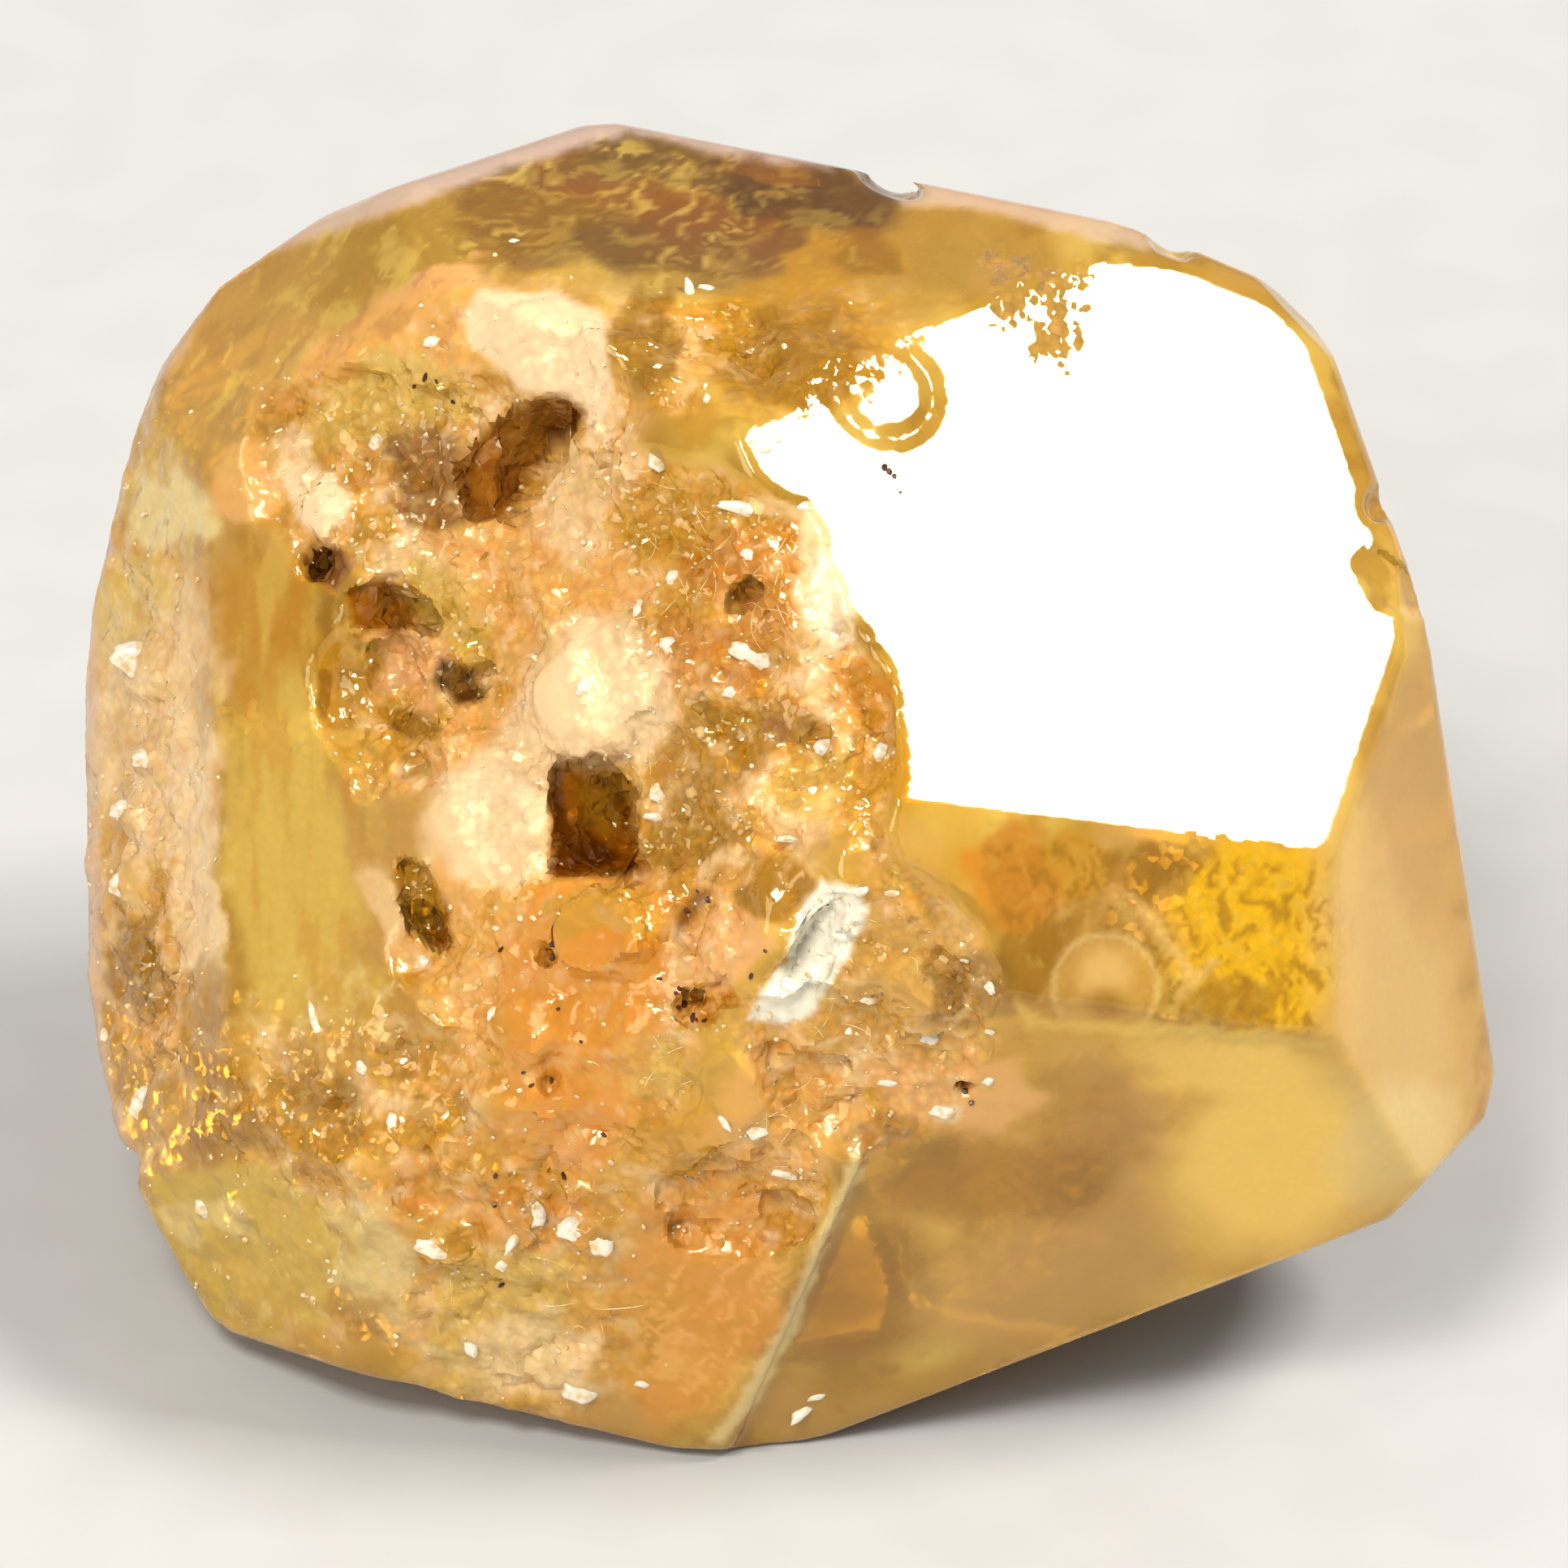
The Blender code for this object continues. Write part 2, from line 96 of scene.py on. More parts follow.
def open_whole_mesh():
    """Opens the active piece for mesh work, with all of it selected."""
    bpy.ops.object.mode_set(mode="EDIT")
    bpy.ops.mesh.select_all(action="SELECT")


def solid_on_bench(node, name):
    """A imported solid's closed copy in millimetres: its loose triangles merged into one skin."""
    piece = put_in_scene(name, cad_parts[node].data.copy())
    scale_about_origin(piece, 1 / MM)
    open_whole_mesh()
    bpy.ops.mesh.remove_doubles(threshold=MERGE_WITHIN)
    bpy.ops.object.mode_set(mode="OBJECT")
    piece.data.materials.clear()
    return piece


def smooth_step(low, high, value):
    share = np.clip((value - low) / (high - low), 0, 1)
    return share * share * (3 - 2 * share)


def points_of(piece):
    points = np.empty(len(piece.data.vertices) * 3)
    piece.data.vertices.foreach_get("co", points)
    return points.reshape(-1, 3)


def normals_of(piece):
    normals = np.empty(len(piece.data.vertices) * 3)
    piece.data.vertex_normals.foreach_get("vector", normals)
    return normals.reshape(-1, 3)


def move_points(piece, points):
    piece.data.vertices.foreach_set("co", points.ravel())
    piece.data.update()


def seen_at(points):
    """Where the front view shows each point: across, up and depth from the heart."""
    arms = points - np.array(HEART)
    depth = arms @ np.array(TOWARDS_VIEWER)
    nearer = VIEW_DISTANCE / (VIEW_DISTANCE - depth)
    across = arms @ np.array(VIEW_RIGHT) * nearer
    up = arms @ np.array(VIEW_UP) * nearer
    return across, up, depth


def grain(points, size, octaves, seed=0.0):
    """Solid noise around 0 with lumps of a size, at each point."""
    shift = Vector((seed, -seed, seed * 0.5))
    return np.array([
        noise.fractal(Vector(point) / size + shift, 1.0, 2.0, octaves) for point in points
    ])


def inside_oval(across, up, at, size, turn, soft):
    """1 inside an oval on the front view, 0 outside, with a soft rim."""
    east, north = across - at[0], up - at[1]
    turned = radians(turn)
    long_way = (east * cos(turned) + north * sin(turned)) / size[0]
    short_way = (north * cos(turned) - east * sin(turned)) / size[1]
    return smooth_step(1 + soft, 1 - soft, np.hypot(long_way, short_way))


def inside_outline(across, up, corners, soft):
    """1 inside a many-cornered outline on the front view, 0 outside, with a soft rim."""
    nearest = np.full(len(across), 1e9)
    inside = np.zeros(len(across), bool)
    for (x1, y1), (x2, y2) in zip(corners, corners[1:] + corners[:1]):
        run, rise = x2 - x1, y2 - y1
        share = ((across - x1) * run + (up - y1) * rise) / (run * run + rise * rise)
        share = np.clip(share, 0, 1)
        reach = np.hypot(across - x1 - share * run, up - y1 - share * rise)
        nearest = np.minimum(nearest, reach)
        crosses = (y1 > up) != (y2 > up)
        rise_safe = rise if abs(rise) > 1e-9 else 1e-9
        inside ^= crosses & (across < x1 + (up - y1) * run / rise_safe)
    signed = np.where(inside, -nearest, nearest)
    return smooth_step(soft, -soft, signed)


def growth_form_of(piece):
    """The crystal's shape before it was etched: the tight skin around the solid."""
    mesh = bmesh.new()
    mesh.from_mesh(piece.data)
    hull = bmesh.ops.convex_hull(mesh, input=mesh.verts[:])
    hull_faces = {item for item in hull["geom"] if isinstance(item, bmesh.types.BMFace)}
    inner = [face for face in mesh.faces if face not in hull_faces]
    bmesh.ops.delete(mesh, geom=inner, context="FACES_ONLY")
    form = bvhtree.BVHTree.FromBMesh(mesh)
    mesh.free()
    return form


def below_form(points, form):
    return np.array([form.find_nearest(Vector(point))[3] for point in points])


crystal = solid_on_bench("garnet_crystal", "crystal")
growth_form = growth_form_of(crystal)

# A fine even skin, its edges worn soft. The back is thinned, and the front stays fine.
SKIN_CELL = 0.081
WEAR = 0.5
WEAR_STEPS = 5
MOST_TRIANGLES = 194000
THIN_STARTS = 0.0
THIN_IS_FULL = -0.25
THIN_SHARE = 0.2
skin = crystal.modifiers.new("skin", "REMESH")
skin.mode = "VOXEL"
skin.voxel_size = SKIN_CELL
skin.use_smooth_shade = True
worn = crystal.modifiers.new("worn", "SMOOTH")
worn.factor = WEAR
worn.iterations = WEAR_STEPS
apply_all(crystal)

sight = np.array(TOWARDS_VIEWER)
facing = normals_of(crystal) @ sight
fine_front = smooth_step(THIN_IS_FULL, THIN_STARTS, facing)
thin_group = crystal.vertex_groups.new(name="thin")
for index in np.nonzero(fine_front < 1)[0]:
    thin_group.add([int(index)], float(1 - fine_front[index]), "REPLACE")
thinner = crystal.modifiers.new("thinner", "DECIMATE")
thinner.vertex_group = "thin"
thinner.vertex_group_factor = THIN_SHARE
thinner.ratio = MOST_TRIANGLES / (2 * len(crystal.data.polygons))
apply_all(crystal)

# The etched hollow is cut deeper at its pits, roughened into lumps, and then broken into
# small flat facets, as an etched crystal is. It starts this deep below the growth form.
ETCH_STARTS = 0.03
ETCH_IS_FULL = 0.2
# Each pit's corners across and up on the front view, how deep it is sunk, and its soft rim.
PIT_OUTLINES = (
    (((-2.95, 0.2), (-2.6, 0.15), (-2.02, -0.18), (-1.96, -0.55), (-1.8, -1.1),
      (-2.4, -1.2), (-2.95, -1.16), (-2.98, -0.6)), 0.5, 0.07),
    (((-4.22, 3.95), (-3.9, 4.45), (-3.35, 4.85), (-2.95, 4.95), (-2.6, 4.8), (-2.7, 4.55),
      (-3.05, 4.25), (-3.35, 3.75), (-3.65, 3.42), (-4.0, 3.4)), 0.45, 0.07),
    (((-5.6, 2.45), (-5.15, 2.55), (-4.8, 2.35), (-4.75, 2.02), (-5.15, 1.95),
      (-5.5, 2.05)), 0.3, 0.06),
    (((-4.4, 1.62), (-4.05, 1.5), (-3.88, 1.15), (-4.15, 1.05), (-4.45, 1.3)), 0.2, 0.06),
    (((-5.05, 1.0), (-4.6, 0.92), (-4.4, 0.65), (-4.8, 0.55), (-5.05, 0.7)), 0.16, 0.06),
    (((-4.95, -0.95), (-4.6, -1.1), (-4.3, -1.6), (-4.35, -2.05), (-4.65, -2.0),
      (-4.95, -1.45)), 0.3, 0.06),
    (((-6.05, 3.0), (-5.7, 3.02), (-5.55, 2.75), (-5.75, 2.5), (-6.05, 2.65)), 0.22, 0.06),
    (((-1.38, -2.55), (-0.7, -2.5), (-0.55, -2.85), (-1.0, -3.05), (-1.4, -2.9)), 0.22, 0.06),
)
# Each lump's place, half sizes, turn in degrees and rise.
LUMPS = (
    ((-2.6, -2.85), (1.2, 1.65), 0, 0.2),
    ((-2.2, -1.72), (0.8, 0.48), 0, 0.14),
    ((-5.98, 3.66), (0.46, 0.46), 20, 0.2),
    ((-2.85, 5.55), (0.75, 0.6), -30, 0.2),
    ((-0.75, -2.0), (0.55, 0.38), 10, 0.14),
    ((0.32, -2.15), (1.05, 0.3), 58, 0.15),
    ((-2.55, 1.1), (0.8, 0.85), 0, 0.14),
    ((-3.8, -0.45), (0.75, 0.6), 0, 0.16),
    ((0.45, 0.42), (0.36, 0.3), 0, 0.14),
    ((1.25, 0.4), (0.24, 0.24), 0, 0.1),
)
# Where the hollow reaches, as places and half sizes.
ETCHED_PARTS = (
    ((-2.35, 0.7), (3.35, 4.7)), ((0.35, -0.2), (1.1, 2.6)), ((1.0, -2.75), (1.75, 1.95)),
    ((-4.9, 3.9), (2.1, 1.5)), ((-3.4, -4.4), (2.6, 1.4)), ((-1.6, 5.2), (2.0, 1.1)),
    ((-0.6, -5.1), (1.2, 1.0)), ((-8.1, -0.6), (0.6, 4.6)),
)
# Where the skin is rough without being deep, and how rough.
ROUGH_PARTS = (
    ((-3.5, 5.4), (1.7, 1.1), 10, 0.55), ((-5.6, 4.6), (1.5, 1.0), 20, 0.6),
    ((-8.2, -0.6), (0.9, 5.2), 0, 0.55), ((-5.7, -4.3), (1.9, 1.5), 0, 0.75),
    ((-3.4, -6.6), (1.6, 1.6), -10, 0.8), ((-6.4, -6.1), (1.7, 1.1), -10, 0.45),
    ((0.2, 5.6), (1.5, 0.8), 12, 0.4),
)
# Where the hollow is smoother.
SMOOTH_PARTS = (
    ((-2.6, -2.85), (1.05, 1.5), 0), ((-3.9, -0.45), (0.85, 0.8), 0),
    ((-2.6, 1.15), (0.75, 0.8), 0), ((-2.9, 5.5), (0.8, 0.7), 0),
)
PART_SOFT = 0.12
ROUGH_SOFT = 0.35
CALM_SOFT = 0.2
LUMP_SOFT = 0.5
# The chip in the rim gets deeper towards the right.
CHIP_OUTLINE = ((7.32, 2.85), (7.6, 3.02), (8.0, 2.75), (8.3, 2.1), (7.62, 2.32))
CHIP_STARTS = 7.2
CHIP_WIDTH = 0.8
CHIP_SLOPE = 0.3
PIT_WOBBLE = 0.07
PIT_WOBBLE_SIZE = 0.5
LUMP_SIZE = 0.55
LUMP_RELIEF = 0.14
CRUMB_SIZE = 0.17
CRUMB_RELIEF = 0.035
WAVE_SIZE = 1.9
WAVE_RELIEF = 0.006
CALM_RELIEF_LOSS = 0.6
FACET_COUNT = 2000
FACET_REACH = (0.12, 0.42)
FACET_TILT = radians(20)
FACET_LEVELS = (30, 60)
FACET_DEEPEST = 0.16
FACET_LEAST_POINTS = 8
CALM_FACET_LOSS = 0.7

points = points_of(crystal)
across, up, depth = seen_at(points)
front = smooth_step(-0.05, 0.2, normals_of(crystal) @ sight)
etched = smooth_step(ETCH_STARTS, ETCH_IS_FULL, below_form(points, growth_form))
in_a_part = np.zeros(len(points))
for at, size in ETCHED_PARTS:
    in_a_part = np.maximum(in_a_part, inside_oval(across, up, at, size, 0, PART_SOFT))
etched *= in_a_part * front
for at, size, turn, share in ROUGH_PARTS:
    mask = inside_oval(across, up, at, size, turn, ROUGH_SOFT) * front * share
    etched = np.maximum(etched, mask)
calm = np.zeros(len(points))
for at, size, turn in SMOOTH_PARTS:
    calm = np.maximum(calm, inside_oval(across, up, at, size, turn, CALM_SOFT))
wobble = grain(points, PIT_WOBBLE_SIZE, 2) * PIT_WOBBLE
pitted = np.zeros(len(points))
for corners, sunk, soft in PIT_OUTLINES:
    mask = inside_outline(across + wobble, up - wobble, corners, soft) * front
    points -= np.outer(mask * sunk, sight)
    etched = np.maximum(etched, mask)
    pitted = np.maximum(pitted, mask)
for at, size, turn, rise in LUMPS:
    mask = inside_oval(across, up, at, size, turn, LUMP_SOFT) * front
    points += np.outer(mask * rise * etched, sight)
rim_chip = inside_outline(across, up, CHIP_OUTLINE, 0.05)
points -= np.outer(rim_chip * np.clip(across - CHIP_STARTS, 0, CHIP_WIDTH) * CHIP_SLOPE, sight)
move_points(crystal, points)
normals = normals_of(crystal)
lumps = grain(points, LUMP_SIZE, 3, 3.1)
crumbs = grain(points, CRUMB_SIZE, 3, 8.7)
relief = etched * (1 - calm * CALM_RELIEF_LOSS) * (LUMP_RELIEF * lumps + CRUMB_RELIEF * crumbs)
relief += (1 - etched) * WAVE_RELIEF * grain(points, WAVE_SIZE, 2, 5.5)
points += normals * relief[:, None]
move_points(crystal, points)

# Each facet is a small flat that leans a little, cut across the points within its reach.
luck = random.Random(41)
normals = normals_of(crystal)
lookup = kdtree.KDTree(len(points))
for index, point in enumerate(points):
    lookup.insert(point, index)
lookup.balance()
hollow = np.nonzero(etched > 0.5)[0]
for number in range(FACET_COUNT):
    seed = int(hollow[luck.randrange(len(hollow))])
    reach = luck.uniform(*FACET_REACH) * luck.uniform(0.6, 1)
    near = [index for _, index, _ in lookup.find_range(points[seed], reach)]
    if len(near) < FACET_LEAST_POINTS:
        continue
    local = points[near]
    average = Vector(normals[near].mean(axis=0)).normalized()
    side = average.orthogonal().normalized()
    side.rotate(Matrix.Rotation(luck.uniform(0, 2 * pi), 3, average))
    average.rotate(Matrix.Rotation(luck.gauss(0, FACET_TILT), 3, side))
    facing_out = np.array(average)
    heights = (local - local.mean(axis=0)) @ facing_out
    level = np.percentile(heights, luck.uniform(*FACET_LEVELS))
    cut = np.clip(heights - level, 0, FACET_DEEPEST)
    cut = cut * (1 - calm[near] * CALM_FACET_LOSS) * etched[near]
    points[near] -= np.outer(cut, facing_out)
box_low, box_high = (np.array(corner) / MM for corner in cad_box)
points = np.clip(points, box_low, box_high)
move_points(crystal, points)

# The garnet's finishes: each has its colour as a screen shows it, and how clear, how frosted
# and how broken the skin is there, from 0 to 1.
FINISHES = {
    "honey": ((252, 194, 66), 0.66, 0.09, 0.4),
    "gold": ((250, 178, 34), 0.58, 0.08, 0.5),
    "window_gold": ((246, 186, 6), 0.34, 0.08, 0.5),
    "amber": ((240, 146, 20), 0.52, 0.08, 0.5),
    "olive": ((206, 144, 22), 0.66, 0.07, 0.4),
    "dark_olive": ((124, 80, 26), 0.68, 0.09, 0.4),
    "brown": ((178, 98, 4), 0.4, 0.16, 0.3),
    "pit": ((96, 34, 2), 0.25, 0.2, 0.3),
    "cream": ((247, 212, 162), 0.05, 0.3, 0.26),
    "orange_cream": ((240, 172, 88), 0.1, 0.26, 0.3),
    "apricot": ((232, 146, 46), 0.2, 0.18, 0.12),
    "rose": ((240, 174, 108), 0.1, 0.26, 0.36),
    "straw": ((255, 212, 96), 0.44, 0.1, 0.4),
    "sunny": ((255, 208, 96), 0.16, 0.12, 0.2),
    "pale_straw": ((254, 228, 156), 0.28, 0.16, 0.36),
    "beige": ((228, 184, 102), 0.26, 0.16, 0.2),
    "tan": ((236, 180, 88), 0.5, 0.1, 0.4),
    # rim: the pale greyish band along the edges, a painted sheen
    "rim": ((214, 184, 166), 0.1, 0.16, 0.05),
    "umber": ((144, 86, 38), 0.3, 0.2, 0.46),
    # a painted highlight: opaque white where a glint shows
    "painted_glint_white": ((255, 247, 220), 0.0, 0.18, 0.2),
    "lemon": ((255, 214, 92), 0.55, 0.08, 0.3),
}
# Soft patches: place across and up on the front view, half sizes, turn, finish and strength.
OVALS = (
    # the top face and the upper left face
    ((-2.0, 7.6), (3.2, 1.1), -4, "dark_olive", 0.82),
    ((0.4, 7.5), (1.3, 0.6), -14, "dark_olive", 0.9),
    ((-1.6, 7.45), (1.6, 0.22), -8, "brown", 0.55),
    ((-2.9, 7.8), (0.7, 0.25), -12, "brown", 0.45),
    ((-0.8, 6.95), (1.1, 0.38), -8, "umber", 0.5),
    ((-3.4, 7.2), (1.1, 0.45), 8, "olive", 0.6),
    ((-6.9, 5.5), (1.1, 1.5), -30, "tan", 0.85),
    ((-5.4, 6.85), (1.5, 0.5), 22, "honey", 0.8),
    ((-6.6, 6.6), (0.9, 0.5), 35, "tan", 0.6),
    ((-4.6, 6.45), (0.7, 0.22), 16, "rose", 0.75),
    ((-5.0, 5.5), (1.5, 0.75), 25, "orange_cream", 0.85),
    ((-5.2, 4.8), (1.2, 0.5), 12, "straw", 0.7),
    ((-6.4, 4.85), (0.4, 0.22), 15, "amber", 0.5),
    # the upper left of the hollow
    ((-4.55, 3.85), (0.5, 0.72), 18, "umber", 0.85),
    ((-6.3, 4.35), (0.32, 0.28), 0, "cream", 0.9),
    ((-7.9, 3.5), (0.65, 0.5), -25, "pale_straw", 0.9),
    ((-6.9, 3.85), (0.6, 0.5), -20, "rose", 0.65),
    ((-4.6, 2.85), (0.75, 0.38), 8, "cream", 0.7),
    ((-3.9, 3.2), (0.7, 0.35), 20, "orange_cream", 0.85),
    ((-4.2, 2.2), (0.7, 0.5), -25, "straw", 0.8),
    ((-2.9, 2.8), (1.3, 1.0), 0, "orange_cream", 0.75),
    ((-2.65, 3.7), (0.55, 0.75), -10, "cream", 0.6),
    ((-4.9, 1.55), (0.62, 0.6), -15, "rose", 0.85),
    ((-3.6, 0.7), (0.6, 0.4), 0, "orange_cream", 0.85),
    # the left facet, the narrow left face and the lower left face
    ((-6.5, 1.6), (0.75, 1.6), 5, "gold", 0.6),
    ((-6.3, -0.8), (0.85, 2.2), 5, "straw", 0.85),
    ((-5.65, 1.5), (0.38, 0.9), 8, "olive", 0.85),
    ((-5.5, 0.5), (0.35, 0.5), 0, "honey", 0.6),
    ((-8.1, 1.0), (0.8, 1.9), 0, "cream", 0.65),
    ((-8.35, 2.4), (0.4, 0.7), -15, "straw", 0.6),
    ((-7.55, -0.9), (0.32, 1.8), 6, "cream", 0.8),
    ((-8.35, -2.35), (0.42, 0.62), 0, "olive", 0.9),
    ((-8.2, -4.1), (0.55, 0.6), 0, "tan", 0.7),
    ((-7.2, -4.35), (0.42, 0.7), 5, "olive", 0.85),
    ((-7.4, -3.0), (0.35, 0.7), 5, "olive", 0.5),
    ((-6.1, -4.2), (0.8, 0.75), 0, "olive", 0.6),
    ((-5.4, -3.2), (1.0, 0.6), 0, "tan", 0.6),
    ((-5.9, -2.6), (0.9, 0.5), 0, "straw", 0.6),
    ((-5.9, -3.9), (0.5, 0.25), 0, "olive", 0.6),
    ((-4.6, -4.5), (0.5, 0.35), 10, "gold", 0.6),
    ((-5.3, -0.5), (0.5, 0.9), 5, "tan", 0.8),
    ((-5.1, -1.6), (0.3, 0.7), 22, "cream", 0.55),
    ((-6.7, -6.0), (1.4, 0.95), -12, "lemon", 0.95),
    ((-5.3, -6.0), (0.45, 0.9), 18, "pale_straw", 0.7),
    ((-7.5, -5.5), (0.5, 0.35), 0, "pale_straw", 0.6),
    ((-5.4, -6.7), (0.4, 0.3), 0, "olive", 0.5),
    # the middle of the hollow
    ((-3.9, -0.45), (0.85, 0.75), 0, "cream", 0.6),
    ((-2.6, 1.2), (0.8, 0.9), 0, "cream", 0.6),
    ((-1.7, 0.75), (0.5, 0.45), 0, "cream", 0.7),
    ((-4.0, -2.2), (0.5, 1.4), 8, "orange_cream", 0.75),
    ((-2.6, -2.9), (1.15, 1.6), 0, "apricot", 0.7),
    ((-2.25, -1.6), (0.85, 0.4), 0, "apricot", 0.9),
    ((-2.9, -4.4), (1.0, 0.5), 0, "apricot", 0.6),
    ((-0.75, -2.0), (0.62, 0.5), 15, "rose", 0.9),
    ((-1.0, -2.8), (0.45, 0.24), 0, "amber", 0.9),
    ((-1.4, -4.5), (0.6, 0.55), 0, "gold", 0.8),
    ((0.0, -4.2), (0.95, 0.9), 0, "orange_cream", 0.75),
    ((-1.7, -3.6), (0.5, 0.4), 0, "straw", 0.6),
    ((-3.3, -5.5), (0.9, 0.5), 0, "apricot", 0.6),
    ((-3.6, -6.9), (0.9, 0.9), 15, "straw", 0.8),
    ((-3.1, -7.4), (1.0, 0.6), -12, "cream", 0.7),
    ((-1.1, -6.6), (1.0, 1.7), -18, "apricot", 0.8),
    ((-1.9, -7.2), (0.5, 0.6), -18, "gold", 0.7),
    ((-4.8, -5.3), (0.5, 0.3), 0, "apricot", 0.5),
    # the golden windows between the hollow and the bright face
    ((-1.1, 3.45), (0.95, 0.55), 10, "gold", 0.9),
    ((-0.9, 2.85), (0.45, 0.35), 0, "amber", 0.9),
    ((-1.0, 1.7), (0.95, 0.48), 0, "amber", 0.75),
    ((-0.2, 2.6), (0.4, 0.7), 0, "amber", 0.7),
    ((0.35, 2.9), (0.25, 0.8), 0, "cream", 0.75),
    # a white glint in the window: painted highlight
    ((0.6, 2.3), (0.35, 0.6), 0, "painted_glint_white", 0.6),
    ((-0.2, 3.5), (0.55, 0.2), -12, "cream", 0.6),
    ((0.2, 5.5), (1.2, 0.75), 12, "gold", 0.95),
    ((0.2, 5.4), (1.0, 0.6), 12, "olive", 0.75),
    ((0.4, 6.5), (1.5, 0.28), 22, "gold", 0.85),
    ((-1.75, 5.6), (0.42, 0.85), -12, "olive", 0.9),
    ((-1.3, 4.75), (0.5, 0.3), -20, "gold", 0.6),
    ((1.0, 6.9), (0.5, 0.3), 0, "olive", 0.75),
    ((2.2, 7.0), (0.9, 0.35), -10, "honey", 0.75),
    ((-1.0, 0.35), (0.75, 0.5), 20, "olive", 0.75),
    ((-1.1, -0.65), (0.65, 0.5), 10, "olive", 0.95),
    ((-0.2, -1.35), (0.42, 0.35), 0, "olive", 0.9),
    ((0.0, 0.9), (0.55, 0.4), -20, "umber", 0.65),
    ((1.45, 0.15), (0.45, 0.55), -30, "gold", 0.85),
    ((1.0, 1.3), (0.35, 0.3), 0, "amber", 0.6),
    ((0.3, 0.0), (0.5, 0.4), 0, "straw", 0.5),
    ((1.2, -1.0), (0.9, 0.4), 0, "tan", 0.6),
    # the window under the bright face
    ((2.95, -1.2), (0.5, 0.75), 0, "amber", 0.75),
    ((3.85, -1.1), (0.55, 0.5), 0, "gold", 0.8),
    ((4.65, -1.05), (0.38, 0.35), 0, "olive", 0.8),
    ((3.3, -2.2), (0.5, 0.5), 0, "olive", 0.8),
    ((6.0, -2.0), (1.05, 1.25), 0, "window_gold", 1.0),
    ((5.6, -2.9), (0.5, 0.35), 0, "olive", 0.65),
    # the mottled patch between the window and the ridge
    ((1.6, -2.6), (1.2, 1.0), 0, "tan", 0.75),
    ((2.5, -2.6), (0.5, 0.5), 0, "dark_olive", 0.5),
    ((2.3, -4.0), (1.1, 0.55), -8, "rose", 0.75),
    ((2.1, -4.2), (0.28, 0.18), 0, "cream", 0.9),
    ((1.2, -4.5), (0.35, 0.3), 0, "umber", 0.6),
)
# The lower right face and the right side, where the patches fade into each other.
FADING_OVALS = (
    ((3.0, -5.1), (1.9, 0.55), 0, "olive", 0.95),
    ((1.0, -6.6), (0.8, 1.1), -15, "olive", 0.95),
    ((4.0, -4.3), (0.6, 0.5), 30, "olive", 0.4),
    ((3.2, -6.4), (1.5, 0.75), 15, "tan", 0.95),
    ((4.6, -5.7), (0.5, 0.9), 15, "tan", 0.85),
    ((6.3, -4.8), (1.5, 1.2), 25, "sunny", 0.95),
    ((5.6, -3.6), (1.2, 0.4), -6, "sunny", 0.85),
    ((7.8, -2.6), (0.9, 2.6), 8, "beige", 0.9),
    ((8.1, -0.3), (0.5, 1.6), 8, "tan", 0.8),
    ((7.9, -4.6), (0.8, 0.7), 30, "pale_straw", 0.45),
    ((0.0, -8.0), (0.5, 0.35), 0, "tan", 0.8),
)
